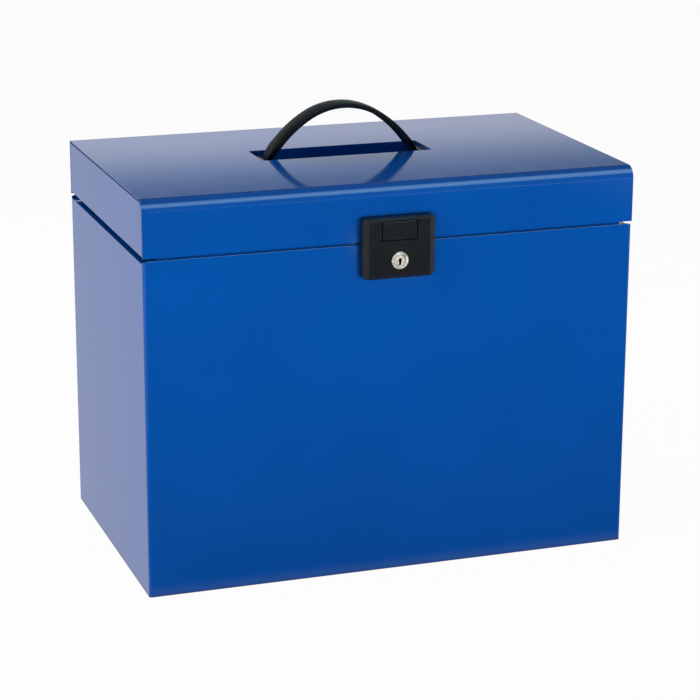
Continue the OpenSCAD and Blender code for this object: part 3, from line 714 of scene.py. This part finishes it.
class FILEBOX_OT_hinges(bpy.types.Operator):
    """Makes the hinge leaves, their pins and the handle's pins"""

    bl_idname = "filebox.hinges"
    bl_label = "Hinges"

    def execute(self, context):
        sides = ("body_leaf_left", "lid_leaf_left", "body_leaf_right", "lid_leaf_right", "pins")
        for node in (*("hinge_" + side for side in sides), "handle_pins"):
            softened_copy(node, node + "_plated", "zinc", context.scene.filebox_edges.metal)
        return {"FINISHED"}


def start_tree(name, sizes):
    """A geometry tree with named inputs: the tree, its input node and the inputs' identifiers."""
    tree = bpy.data.node_groups.new(name, "GeometryNodeTree")
    tree.interface.new_socket("Geometry", in_out="INPUT", socket_type="NodeSocketGeometry")
    names = {}
    for label, default in sizes.items():
        kind = "NodeSocketVector" if isinstance(default, tuple) else "NodeSocketFloat"
        made = tree.interface.new_socket(label, in_out="INPUT", socket_type=kind)
        made.default_value = default
        names[label] = made.identifier
    return tree, add_node(tree, "NodeGroupInput"), names


def lifted(tree, shape, height, scale=(1, 1, 1)):
    """Scales a shape and moves it up by a height."""
    place = add_node(tree, "ShaderNodeCombineXYZ", inputs={"Z": height}).outputs[0]
    inputs = {"Geometry": shape, "Scale": scale, "Translation": place}
    return add_node(tree, "GeometryNodeTransform", inputs=inputs).outputs[0]


def end_tree(tree, points, shape, turn):
    """Sets the turned shape on each point as a real mesh, and gives it its material."""
    turned = add_node(tree, "GeometryNodeTransform", inputs={"Geometry": shape, "Rotation": turn})
    each = {"Points": points, "Instance": turned.outputs[0]}
    placed = add_node(tree, "GeometryNodeInstanceOnPoints", inputs=each).outputs[0]
    real = add_node(tree, "GeometryNodeRealizeInstances", inputs={"Geometry": placed}).outputs[0]
    zinc = {"Geometry": real, "Material": material("zinc")}
    dressed = add_node(tree, "GeometryNodeSetMaterial", inputs=zinc).outputs[0]
    tree.interface.new_socket("Geometry", in_out="OUTPUT", socket_type="NodeSocketGeometry")
    add_node(tree, "NodeGroupOutput", inputs={0: dressed})


def grown(name, points, tree, values):
    """Runs a geometry tree on a set of points and returns what it makes as a plain mesh."""
    seeds = bpy.data.meshes.new(name + "_points")
    seeds.from_pydata([p[:] for p in points], [], [])
    carrier = linked(name + "_carrier", seeds)
    modifier = carrier.modifiers.new("pieces", "NODES")
    modifier.node_group = tree
    for identifier, value in values.items():
        modifier[identifier] = value
    mesh = evaluated(carrier)
    mesh.name = name
    carrier.modifiers.remove(modifier)
    bpy.data.objects.remove(carrier)
    return mesh


def rivet_tree():
    """Rivets that lie along Z before their turn: a round head, a shank and an upset tail."""
    sizes = {
        "Head Radius": 3 * MM,
        "Head Height": 1.1 * MM,
        "Tail Radius": 2.3 * MM,
        "Tail Height": 1.1 * MM,
        "Grip": HINGE_GRIP,
        "Turn": (0, 0, 0),
    }
    tree, start, names = start_tree("rivets", sizes)
    parts = []
    for end, side in (("Head", 0.5), ("Tail", -0.5)):
        radius, height = start.outputs[end + " Radius"], start.outputs[end + " Height"]
        ball = add_node(
            tree, "GeometryNodeMeshUVSphere", inputs={"Segments": 28, "Rings": 14, "Radius": 1.0}
        ).outputs["Mesh"]
        size = {"X": radius, "Y": radius, "Z": height}
        size = add_node(tree, "ShaderNodeCombineXYZ", inputs=size).outputs[0]
        place = {0: start.outputs["Grip"], 1: side}
        place = add_node(tree, "ShaderNodeMath", {"operation": "MULTIPLY"}, place).outputs[0]
        parts.append(lifted(tree, ball, place, size))
    # The shank is half as wide as the head.
    shank = {0: start.outputs["Head Radius"], 1: 0.5}
    radius = add_node(tree, "ShaderNodeMath", {"operation": "MULTIPLY"}, shank).outputs[0]
    shank = {"Vertices": 20, "Radius": radius, "Depth": start.outputs["Grip"]}
    parts.append(add_node(tree, "GeometryNodeMeshCylinder", inputs=shank).outputs["Mesh"])
    shape = add_node(tree, "GeometryNodeJoinGeometry", inputs={0: parts}).outputs[0]
    smooth = add_node(tree, "GeometryNodeSetShadeSmooth", inputs={"Geometry": shape}).outputs[0]
    end_tree(tree, start.outputs[0], smooth, start.outputs["Turn"])
    return tree, names


class FILEBOX_OT_rivets(bpy.types.Operator):
    """Makes the rivets of the hinges and of the handle's pivot blocks"""

    bl_idname = "filebox.rivets"
    bl_label = "Rivets"

    def execute(self, context):
        tree, names = rivet_tree()
        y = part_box("hinge_body_leaf_left")[0].y + GRIP_DEPTH
        values = {names["Grip"]: HINGE_GRIP, names["Turn"]: (math.radians(-90), 0, 0)}
        for node, body in (("body_hinge_rivets", "box"), ("lid_hinge_rivets", "lid")):
            low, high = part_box(node)
            x = low.x + (high.z - low.z) / 2
            z = (low.z + high.z) / 2
            points = [(side * at, y, z) for at in (x, x + RIVET_SPACING) for side in (-1, 1)]
            mesh = grown(node + "_plated", points, tree, values)
            new_piece(node + "_plated", mesh, body, "zinc", node)
        low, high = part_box("block_rivets")
        x, z = high.x - BLOCK_HEAD - BLOCK_GRIP / 2, (low.z + high.z) / 2
        work = bmesh.new()
        for side in (-1, 1):
            points = [(side * x, y, z) for y in (low.y + BLOCK_INSET, high.y - BLOCK_INSET)]
            values = {
                names["Grip"]: BLOCK_GRIP,
                names["Tail Radius"]: BLOCK_TAIL_RADIUS,
                names["Tail Height"]: BLOCK_TAIL_HEIGHT,
                names["Turn"]: (0, side * math.radians(90), 0),
            }
            work.from_mesh(grown("block_rivets_side", points, tree, values))
        mesh = plain_mesh("block_rivets_plated", work)
        new_piece("block_rivets_plated", mesh, "lid", "zinc", "block_rivets")
        return {"FINISHED"}


def screw_tree():
    """Screws with a cross recess whose heads lie at each point and face +Y."""
    sizes = {
        "Head Radius": 2.8 * MM,
        "Head Height": 1.8 * MM,
        "Shank Radius": 1.4 * MM,
        "Shank Length": 5 * MM,
        "Slot Width": 0.6 * MM,
        "Slot Depth": 0.9 * MM,
    }
    tree, start, names = start_tree("screws", sizes)
    given = start.outputs
    # Half a head up, half a shank down, and cutters that reach as far out as they cut in.
    head_up, shank_down, cutter_height = (
        add_node(
            tree, "ShaderNodeMath", {"operation": "MULTIPLY"}, {0: given[label], 1: factor}
        ).outputs[0]
        for label, factor in (("Head Height", 0.5), ("Shank Length", -0.5), ("Slot Depth", 2.0))
    )
    size = {"Vertices": 40, "Radius": given["Head Radius"], "Depth": given["Head Height"]}
    head = add_node(tree, "GeometryNodeMeshCylinder", inputs=size).outputs["Mesh"]
    cutters = []
    for wide, narrow in (("Head Radius", "Slot Width"), ("Slot Width", "Head Radius")):
        size = {"X": given[wide], "Y": given[narrow], "Z": cutter_height}
        size = {"Size": add_node(tree, "ShaderNodeCombineXYZ", inputs=size).outputs[0]}
        cutter = add_node(tree, "GeometryNodeMeshCube", inputs=size).outputs["Mesh"]
        cutters.append(lifted(tree, cutter, given["Head Height"]))
    cut = {"Mesh 1": lifted(tree, head, head_up), "Mesh 2": cutters}
    cut = add_node(tree, "GeometryNodeMeshBoolean", {"operation": "DIFFERENCE"}, cut).outputs[0]
    size = {"Vertices": 24, "Radius": given["Shank Radius"], "Depth": given["Shank Length"]}
    shank = add_node(tree, "GeometryNodeMeshCylinder", inputs=size).outputs["Mesh"]
    parts = {0: [cut, lifted(tree, shank, shank_down)]}
    shape = add_node(tree, "GeometryNodeJoinGeometry", inputs=parts).outputs[0]
    end_tree(tree, given[0], shape, (math.radians(-90), 0, 0))
    return tree, names


class FILEBOX_OT_screws(bpy.types.Operator):
    """Makes the screws of the latch and of the lock's cam"""

    bl_idname = "filebox.screws"
    bl_label = "Screws"

    def execute(self, context):
        tree, names = screw_tree()
        for node, (body, xs, head_radius, head_height, shank_radius) in SCREWS.items():
            low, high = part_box(node)
            y = high.y - head_height
            values = {
                names["Head Radius"]: head_radius,
                names["Head Height"]: head_height,
                names["Shank Radius"]: shank_radius,
                names["Shank Length"]: y - low.y,
            }
            points = [(x, y, (low.z + high.z) / 2) for x in xs]
            mesh = grown(node + "_plated", points, tree, values)
            piece = new_piece(node + "_plated", mesh, body, "zinc", node)
            soften(piece, context.scene.filebox_edges.metal, 2, SCREW_ANGLE)
        return {"FINISHED"}


# ---- latch and lock ----


class FILEBOX_OT_latch(bpy.types.Operator):
    """Makes the latch's housing, backplate, button, lever, pin and spring, and the lid's striker"""

    bl_idname = "filebox.latch"
    bl_label = "Latch"

    def execute(self, context):
        edges = context.scene.filebox_edges
        for node in ("latch_housing", "push_button"):
            piece = softened_copy(node, node + "_moulded", "plastic", edges.plastic, 3, MOULD_ANGLE)
        narrow_button(piece.data)
        for node in ("latch_backplate", "catch_lever", "lever_pin", "lid_striker"):
            softened_copy(node, node + "_plated", "zinc", edges.metal)
        shape = merged("catch_spring")
        spring = new_piece("catch_spring_wound", shape, "box", "zinc", "catch_spring")
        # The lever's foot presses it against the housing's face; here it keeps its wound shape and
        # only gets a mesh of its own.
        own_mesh(spring)
        return {"FINISHED"}


def narrow_button(mesh):
    """Draws the button's face in a little, as a moulded draft leaves a wider gap round it."""
    low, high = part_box("push_button")
    middle = (low + high) / 2
    for point in mesh.vertices:
        if point.co.y < middle.y:
            for axis in (0, 2):
                reach = (high - low)[axis] / 2
                if abs(point.co[axis] - middle[axis]) > reach - BUTTON_SIDE:
                    point.co[axis] += math.copysign(BUTTON_DRAFT, middle[axis] - point.co[axis])


class FILEBOX_OT_lock(bpy.types.Operator):
    """Makes the lock's barrel, plug, nut and cam"""

    bl_idname = "filebox.lock"
    bl_label = "Lock"

    def execute(self, context):
        width = context.scene.filebox_edges.metal
        softened_copy("lock_barrel", "lock_barrel_turned", "nickel", BARREL_EDGE, 3)
        softened_copy("lock_plug", "lock_plug_turned", "nickel", PLUG_EDGE, 3)
        softened_copy("lock_nut", "lock_nut_turned", "nickel", width)
        softened_copy("lock_cam", "lock_cam_plated", "zinc", width)
        return {"FINISHED"}


# ---- handle ----


class FILEBOX_OT_handle(bpy.types.Operator):
    """Makes the arched handle and the pivot blocks that carry it"""

    bl_idname = "filebox.handle"
    bl_label = "Handle"

    def execute(self, context):
        mesh = strap_mesh(context.scene.filebox_handle)
        new_piece("handle_strap", mesh, "handle", "strap", "handle")
        for node in ("pivot_block_left", "pivot_block_right"):
            softened_copy(node, node + "_moulded", "plastic", BLOCK_EDGE, 3)
        return {"FINISHED"}


def arc(centre, radius, thickness, angles):
    """Outer and inner points of a strap at these angles from the top of its arc."""
    made = []
    for angle in angles:
        out = Vector((math.sin(angle), math.cos(angle)))
        made.append((centre + radius * out, centre + (radius - thickness) * out))
    return made


def strap_stations(shape):
    """Outer and inner points of the strap from its crown to one foot, with its half width and how
    much of the grip's section it has. x is across the box and z is measured from the lid's top."""
    rise = HANDLE_HIGH.z - LID_TOP
    foot_x = HANDLE_HIGH.x
    radius, bend = shape.crown_radius, CROWN_BEND
    join = Vector((radius * math.sin(bend), rise - radius * (1 - math.cos(bend))))
    end = Vector((foot_x - LEG_INSET, 0))
    # The leg's arc goes on in the crown's direction and meets the lid's top over the foot.
    last = 2 * math.atan2(join.y, end.x - join.x) - bend
    leg_radius = (end - join).length / (2 * math.sin((last - bend) / 2))
    leg_centre = join - leg_radius * Vector((math.sin(bend), math.cos(bend)))
    crown = [bend * i / CROWN_STEPS for i in range(CROWN_STEPS + 1)]
    leg = [bend + (last - bend) * i / LEG_STEPS for i in range(1, LEG_STEPS + 1)]
    stations = arc(Vector((0, rise - radius)), radius, shape.thickness, crown)
    stations += arc(leg_centre, leg_radius, shape.thickness, leg)
    top_out, top_in = stations[-1]
    drop = LID_TOP - PIVOT_Z
    low_out, low_in = Vector((foot_x, -drop / 2)), Vector((foot_x - FOOT_THICKNESS, -drop / 2))
    for i in range(1, ROOT_STEPS + 1):
        share = i / ROOT_STEPS
        stations.append((top_out.lerp(low_out, share), top_in.lerp(low_in, share)))
    heights = [-drop / 2 * (1 + i / NECK_STEPS) for i in range(1, NECK_STEPS + 1)]
    for i in range(1, FOOT_STEPS + 1):
        heights.append(-drop - FOOT_RADIUS * math.sin(FOOT_TURN * i / FOOT_STEPS))
    stations += [(Vector((foot_x, z)), Vector((foot_x - FOOT_THICKNESS, z))) for z in heights]
    made = []
    for outer, inner in stations:
        taper = min(max((outer.x - foot_x) / shape.taper + 1, 0), 1)
        half = shape.grip_width / 2 + (shape.leg_width - shape.grip_width) / 2 * taper
        below = outer.y + drop
        if abs(below) < FOOT_RADIUS:
            disc = math.sqrt(FOOT_RADIUS**2 - below**2)
            half = disc if below < 0 else max(half, disc)
        section = min(max((outer.y - GRIP_START) / GRIP_RUN, 0), 1)
        made.append((outer, inner, half, section))
    return made


def strap_section(half, thickness, shape, share):
    """Half a section from the middle of the outer face to the middle of the inner face: distance
    from the middle, and depth below the outer face."""
    # On the narrow legs each feature takes at most a share of the half width.
    band = min(shape.band, half * 0.45)
    step, channel = shape.step * share, shape.channel * share
    crown = GRIP_CROWN * share
    edge, low = min(STRAP_EDGE, half * 0.4), min(STRAP_EDGE, half * 0.2)
    rib = min(RIB_WIDTH, half * 0.4)
    pad, shoulder = half - band, crown + step
    points = [(pad * i / 4, crown * (i / 4) ** 2) for i in range(5)]
    points.append((pad + STEP_SLOPE, shoulder))
    points.append((half - edge, shoulder))
    for i in range(1, 5):
        turn = math.radians(90) * i / 4
        over, down = math.sin(turn), 1 - math.cos(turn)
        points.append((half - edge + edge * over, shoulder + edge * down))
    points.append((half, thickness - low))
    for i in range(1, 4):
        turn = math.radians(90) * i / 3
        over, down = math.cos(turn), math.sin(turn)
        points.append((half - low + low * over, thickness - low + low * down))
    points.append((half - rib, thickness))
    points.append((half - rib - STEP_SLOPE, thickness - channel))
    points.append((0, thickness - channel))
    return points


def strap_mesh(shape):
    """Lofts the strap's sections from the left foot over the crown to the right foot."""
    right = strap_stations(shape)
    left = [
        (Vector((-outer.x, outer.y)), Vector((-inner.x, inner.y)), half, share)
        for outer, inner, half, share in reversed(right[1:])
    ]
    rings = []
    for outer, inner, half, share in left + right:
        thickness = (inner - outer).length
        down = (inner - outer) / thickness
        side = strap_section(half, thickness, shape, share)
        loop = side + [(-y, v) for y, v in reversed(side[1:-1])]
        rings.append(
            [(outer.x + down.x * v, HANDLE_Y + y, LID_TOP + outer.y + down.y * v) for y, v in loop]
        )
    count = len(rings[0])
    points = [point for ring in rings for point in ring]
    faces = []
    for start in range(0, len(points) - count, count):
        for j in range(count):
            k = (j + 1) % count
            faces.append((start + j, start + count + j, start + count + k, start + k))
    faces.append(tuple(range(count)))
    faces.append(tuple(reversed(range(len(points) - count, len(points)))))
    mesh = bpy.data.meshes.new("handle_strap")
    mesh.from_pydata(points, [], faces)
    work = bmesh.new()
    work.from_mesh(mesh)
    bmesh.ops.remove_doubles(work, verts=work.verts, dist=MERGE / 10)
    bmesh.ops.recalc_face_normals(work, faces=work.faces)
    work.to_mesh(mesh)
    work.free()
    mesh.shade_smooth()
    mesh.set_sharp_from_angle(angle=STRAP_ANGLE)
    return mesh


# ---- stage ----


class FILEBOX_OT_stage(bpy.types.Operator):
    """Makes the floor with its curved backdrop, the mirrored cards, the lamps and the camera"""

    bl_idname = "filebox.stage"
    bl_label = "Stage"

    def execute(self, context):
        stage = context.scene.filebox_stage
        floor_piece()
        reflector()
        soft_card()
        for name, (place, target, width, height) in LAMPS.items():
            area_light(name, place, target, width, height, getattr(stage, name))
        surroundings(context.scene, stage.ambient)
        photo_camera(context.scene)
        context.scene.view_settings.view_transform = "Standard"
        return {"FINISHED"}


def floor_piece():
    """A pale floor that curves up into a backdrop behind the box."""
    low = CAD_LOW.z
    outline = [(-FLOOR_REACH, low), (FLOOR_BACK, low)]
    for degrees in range(10, 91, 10):
        turn = math.radians(degrees)
        back, up = FLOOR_CURVE * math.sin(turn), FLOOR_CURVE * (1 - math.cos(turn))
        outline.append((FLOOR_BACK + back, low + up))
    outline.append((FLOOR_BACK + FLOOR_CURVE, low + BACKDROP_TOP))
    points = [(x, y, z) for x in (-FLOOR_REACH, FLOOR_REACH) for y, z in outline]
    n = len(outline)
    mesh = bpy.data.meshes.new("floor")
    mesh.from_pydata(points, [], [(i, n + i, n + i + 1, i + 1) for i in range(n - 1)])
    mesh.shade_smooth()
    mesh.materials.append(new_material("pale_paper", pale_paper))
    return linked("floor", mesh)


def pale_paper(tree):
    """White paper as the camera and the mirrors see it, and grey paper for all other light."""
    path = add_node(tree, "ShaderNodeLightPath").outputs
    camera = path["Is Camera Ray"]
    either = {0: path["Is Glossy Ray"], 1: path["Is Transmission Ray"]}
    mirrored = add_node(tree, "ShaderNodeMath", {"operation": "MAXIMUM"}, either).outputs[0]
    either = {0: camera, 1: mirrored}
    shown = add_node(tree, "ShaderNodeMath", {"operation": "MAXIMUM"}, either).outputs[0]
    coords = add_node(tree, "ShaderNodeTexCoord").outputs["Object"]
    # The floor is dark under the box, where small corner gaps in the pan show it.
    inputs = {0: coords, 1: (WALLS.x - UNDER_WALLS, WALLS.y - UNDER_WALLS, 1.0)}
    out = add_node(tree, "ShaderNodeVectorMath", {"operation": "DIVIDE"}, inputs).outputs[0]
    out = add_node(tree, "ShaderNodeVectorMath", {"operation": "ABSOLUTE"}, {0: out}).outputs[0]
    out = add_node(tree, "ShaderNodeSeparateXYZ", inputs={0: out}).outputs
    share = out["X"]
    for operation, value in (
        ("MAXIMUM", out["Y"]),
        ("GREATER_THAN", 1.0),
        ("MULTIPLY", shown),
        ("MULTIPLY", PAPER_WHITE),
    ):
        inputs = {0: share, 1: value}
        share = add_node(tree, "ShaderNodeMath", {"operation": operation}, inputs).outputs[0]
    # Mirrors see it lit behind the box and dark in front of it, grey to both sides and up the
    # backdrop, and with a small white card where the lock's ring mirrors it.
    spot = add_node(tree, "ShaderNodeSeparateXYZ", inputs={0: coords}).outputs
    aside = spot["X"]
    for operation, value in (("SUBTRACT", FLOOR_MIDDLE), ("ABSOLUTE", 0.0)):
        inputs = {0: aside, 1: value}
        aside = add_node(tree, "ShaderNodeMath", {"operation": operation}, inputs).outputs[0]
    away = coords
    for operation, value in (("SUBTRACT", LOCK_CARD), ("DIVIDE", LOCK_CARD_SIZE)):
        inputs = {0: away, 1: value}
        away = add_node(tree, "ShaderNodeVectorMath", {"operation": operation}, inputs).outputs[0]
    away = add_node(tree, "ShaderNodeVectorMath", {"operation": "LENGTH"}, {0: away})
    depth, sides, height, card = (
        add_node(
            tree,
            "ShaderNodeMapRange",
            {"interpolation_type": "SMOOTHSTEP"},
            {"Value": place, "From Min": start, "From Max": end, "To Min": first, "To Max": last},
        ).outputs["Result"]
        for place, start, end, first, last in (
            (spot["Y"], -0.14, -0.1, 0.03, 0.77),  # its edge lies just in front of the box
            (aside, 0.45, 0.8, 0.0, 0.6),
            (spot["Z"], 0.5, 1.4, 1.0, 0.1),
            (away.outputs["Value"], 0.6, 1.0, LOCK_CARD_LEVEL, 0.0),
        )
    )
    level = depth
    for operation, value in (
        ("MAXIMUM", sides),
        ("MULTIPLY", height),
        ("ADD", card),
        ("MULTIPLY", mirrored),
        ("MAXIMUM", camera),
    ):
        inputs = {0: level, 1: value}
        level = add_node(tree, "ShaderNodeMath", {"operation": operation}, inputs).outputs[0]
    paper = add_node(tree, "ShaderNodeBsdfDiffuse", inputs={"Color": (0.7, 0.7, 0.7, 1)})
    light = add_node(tree, "ShaderNodeEmission", inputs={"Color": (1, 1, 1, 1), "Strength": level})
    inputs = {0: share, 1: paper.outputs[0], 2: light.outputs[0]}
    return add_node(tree, "ShaderNodeMixShader", inputs=inputs)


def mirror_card(name, corners, dress):
    """A flat card that only reflections show."""
    mesh = bpy.data.meshes.new(name)
    mesh.from_pydata([corner[:] for corner in corners], [], [(0, 1, 2, 3)])
    rows = mesh.uv_layers.new(name="card")
    for corner, place in zip(rows.data, ((0, 0), (1, 0), (1, 1), (0, 1))):
        corner.uv = place
    mesh.materials.append(dress)
    card = linked(name, mesh)
    card.visible_camera = False
    card.visible_diffuse = False
    card.visible_shadow = False
    card.visible_transmission = False
    return card


def reflector():
    """A white card behind the lid that fades out towards its top."""
    (left, right), (low, high) = BACK_CARD_X, (LID_TOP + z for z in BACK_CARD_Z)
    corners = [(left, low), (right, low), (right, high), (left, high)]
    corners = [(x, BACK_CARD_Y, z) for x, z in corners]
    return mirror_card("reflector", corners, new_material("white_card", white_card))


def white_card(tree):
    """White below and pale blue above; its left end is black, which keeps the left leg dark."""
    coords = add_node(tree, "ShaderNodeTexCoord").outputs["Object"]
    spot = add_node(tree, "ShaderNodeSeparateXYZ", inputs={0: coords}).outputs
    upward, across = (
        add_node(
            tree,
            "ShaderNodeMapRange",
            {"interpolation_type": "SMOOTHSTEP"},
            {"Value": place, "From Min": start, "From Max": end, "To Min": first, "To Max": last},
        ).outputs["Result"]
        for place, start, end, first, last in (
            (spot["Z"], LID_TOP + 0.074, LID_TOP + 0.135, 1.02, 0.32),
            (spot["X"], -0.15, -0.11, 0.1, 0.95),  # its edge lies left of the handle
        )
    )
    both = {0: upward, 1: across}
    level = add_node(tree, "ShaderNodeMath", {"operation": "MULTIPLY"}, both).outputs[0]
    tints = {0: upward, 6: (0.62, 0.84, 1.0, 1), 7: (1.0, 1.0, 1.0, 1)}
    tint = add_node(tree, "ShaderNodeMix", {"data_type": "RGBA"}, tints).outputs[2]
    return add_node(tree, "ShaderNodeEmission", inputs={"Color": tint, "Strength": level})


def soft_card():
    """A pale blue card high in front that faces the lid's front edge."""
    middle = Vector(SOFT_CARD)
    away = (middle - Vector((0, -0.1, LID_TOP))).normalized()
    side = Vector((0, 0, 1)).cross(away).normalized() * SOFT_CARD_SIZE[0]
    up = away.cross(side).normalized() * SOFT_CARD_SIZE[1]
    corners = [middle + a * side + b * up for a, b in ((-1, -1), (1, -1), (1, 1), (-1, 1))]
    return mirror_card("soft_card", corners, new_material("soft_white_card", soft_white_card))


def soft_white_card(tree):
    """Pale blue along its middle, fading out towards its long edges."""
    coords = add_node(tree, "ShaderNodeTexCoord").outputs["UV"]
    row = add_node(tree, "ShaderNodeSeparateXYZ", inputs={0: coords}).outputs["Y"]
    rise, fall = (
        add_node(
            tree,
            "ShaderNodeMapRange",
            {"interpolation_type": "SMOOTHSTEP"},
            {"Value": row, "From Min": start, "From Max": end, "To Min": first, "To Max": last},
        ).outputs["Result"]
        for start, end, first, last in (
            (0.0, 0.45, 0.0, bpy.context.scene.filebox_stage.soft_card),
            (0.55, 1.0, 1.0, 0.0),
        )
    )
    both = {0: rise, 1: fall}
    level = add_node(tree, "ShaderNodeMath", {"operation": "MULTIPLY"}, both).outputs[0]
    light = {"Color": (0.55, 0.88, 1.0, 1), "Strength": level}
    return add_node(tree, "ShaderNodeEmission", inputs=light)


def area_light(name, place, target, width, height, power):
    """A flat lamp that lights the box but shows in no reflection."""
    light = bpy.data.lights.new(name, "AREA")
    light.shape = "RECTANGLE"
    light.size, light.size_y = width, height
    light.energy = power
    lamp = linked(name, light)
    lamp.location = place
    lamp.rotation_euler = (Vector(target) - Vector(place)).to_track_quat("-Z", "Y").to_euler()
    lamp.visible_glossy = False
    lamp.visible_camera = False


def surroundings(scene, ambient):
    """A world that is white to the camera, dim in reflections, and even on the surfaces."""
    world = bpy.data.worlds.new("surroundings")
    scene.world = world
    world.use_nodes = True
    tree = world.node_tree
    tree.nodes.clear()
    path = add_node(tree, "ShaderNodeLightPath").outputs
    even, dim = (
        add_node(
            tree, "ShaderNodeMath", {"operation": "MULTIPLY"}, {0: path[ray], 1: level}
        ).outputs[0]
        for ray, level in (("Is Diffuse Ray", ambient), ("Is Glossy Ray", MIRRORED_SKY))
    )
    level = even
    for operation, value in (("ADD", dim), ("MAXIMUM", path["Is Camera Ray"])):
        inputs = {0: level, 1: value}
        level = add_node(tree, "ShaderNodeMath", {"operation": operation}, inputs).outputs[0]
    light = {"Color": (1, 1, 1, 1), "Strength": level}
    sky = add_node(tree, "ShaderNodeBackground", inputs=light).outputs[0]
    add_node(tree, "ShaderNodeOutputWorld", inputs={"Surface": sky})


def photo_camera(scene):
    """The camera at the photograph's viewing angle."""
    azimuth, elevation, roll = (math.radians(a) for a in CAMERA_TURN)
    flat = math.cos(elevation)
    back = Vector((math.sin(azimuth) * flat, -math.cos(azimuth) * flat, math.sin(elevation)))
    level = (-back).cross(Vector((0, 0, 1))).normalized()
    upright = level.cross(-back)
    right = math.cos(roll) * level + math.sin(roll) * upright
    up = math.cos(roll) * upright - math.sin(roll) * level
    data = bpy.data.cameras.new("camera")
    data.sensor_width = SENSOR
    data.lens = SENSOR * FOCAL_PX / PICTURE_PX
    data.clip_end = 50
    camera = linked("camera", data)
    scene.camera = camera
    away, aside, raised = CAMERA_PLACE
    place = BOX_W * (away * back + aside * right + raised * up)
    turn = Matrix((right, up, back)).transposed().to_4x4()
    camera.matrix_world = Matrix.Translation(place) @ turn


# ---- panel and start ----


class FILEBOX_PT_panel(bpy.types.Panel):
    """Lists what makes the box and what a user may change"""

    bl_idname = "FILEBOX_PT_panel"
    bl_label = "File Box"
    bl_space_type = "VIEW_3D"
    bl_region_type = "UI"
    bl_category = "File Box"

    def draw(self, context):
        for operator in OPERATORS:
            self.layout.operator(operator.bl_idname)
        for group in GROUPS:
            values = getattr(context.scene, group)
            for name in GROUPS[group].__annotations__:
                self.layout.prop(values, name)


GROUPS = {
    "filebox_colours": FileBoxColours,
    "filebox_paint": FileBoxPaint,
    "filebox_edges": FileBoxEdges,
    "filebox_handle": FileBoxHandle,
    "filebox_stage": FileBoxStage,
}
OPERATORS = (
    FILEBOX_OT_body,
    FILEBOX_OT_lid,
    FILEBOX_OT_hinges,
    FILEBOX_OT_rivets,
    FILEBOX_OT_screws,
    FILEBOX_OT_latch,
    FILEBOX_OT_lock,
    FILEBOX_OT_handle,
    FILEBOX_OT_stage,
)


def register():
    """Registers the classes and hangs the values on the scene."""
    for made in (*GROUPS.values(), *OPERATORS, FILEBOX_PT_panel):
        bpy.utils.register_class(made)
    for name, group in GROUPS.items():
        setattr(bpy.types.Scene, name, PointerProperty(type=group))


def unregister():
    """Takes the values and the classes away again."""
    for name in GROUPS:
        delattr(bpy.types.Scene, name)
    for made in reversed((*GROUPS.values(), *OPERATORS, FILEBOX_PT_panel)):
        bpy.utils.unregister_class(made)


def main():
    """Builds the box and its stage."""
    register()
    for operator in OPERATORS:
        group, name = operator.bl_idname.split(".")
        getattr(getattr(bpy.ops, group), name)()


if __name__ == "__main__":
    main()
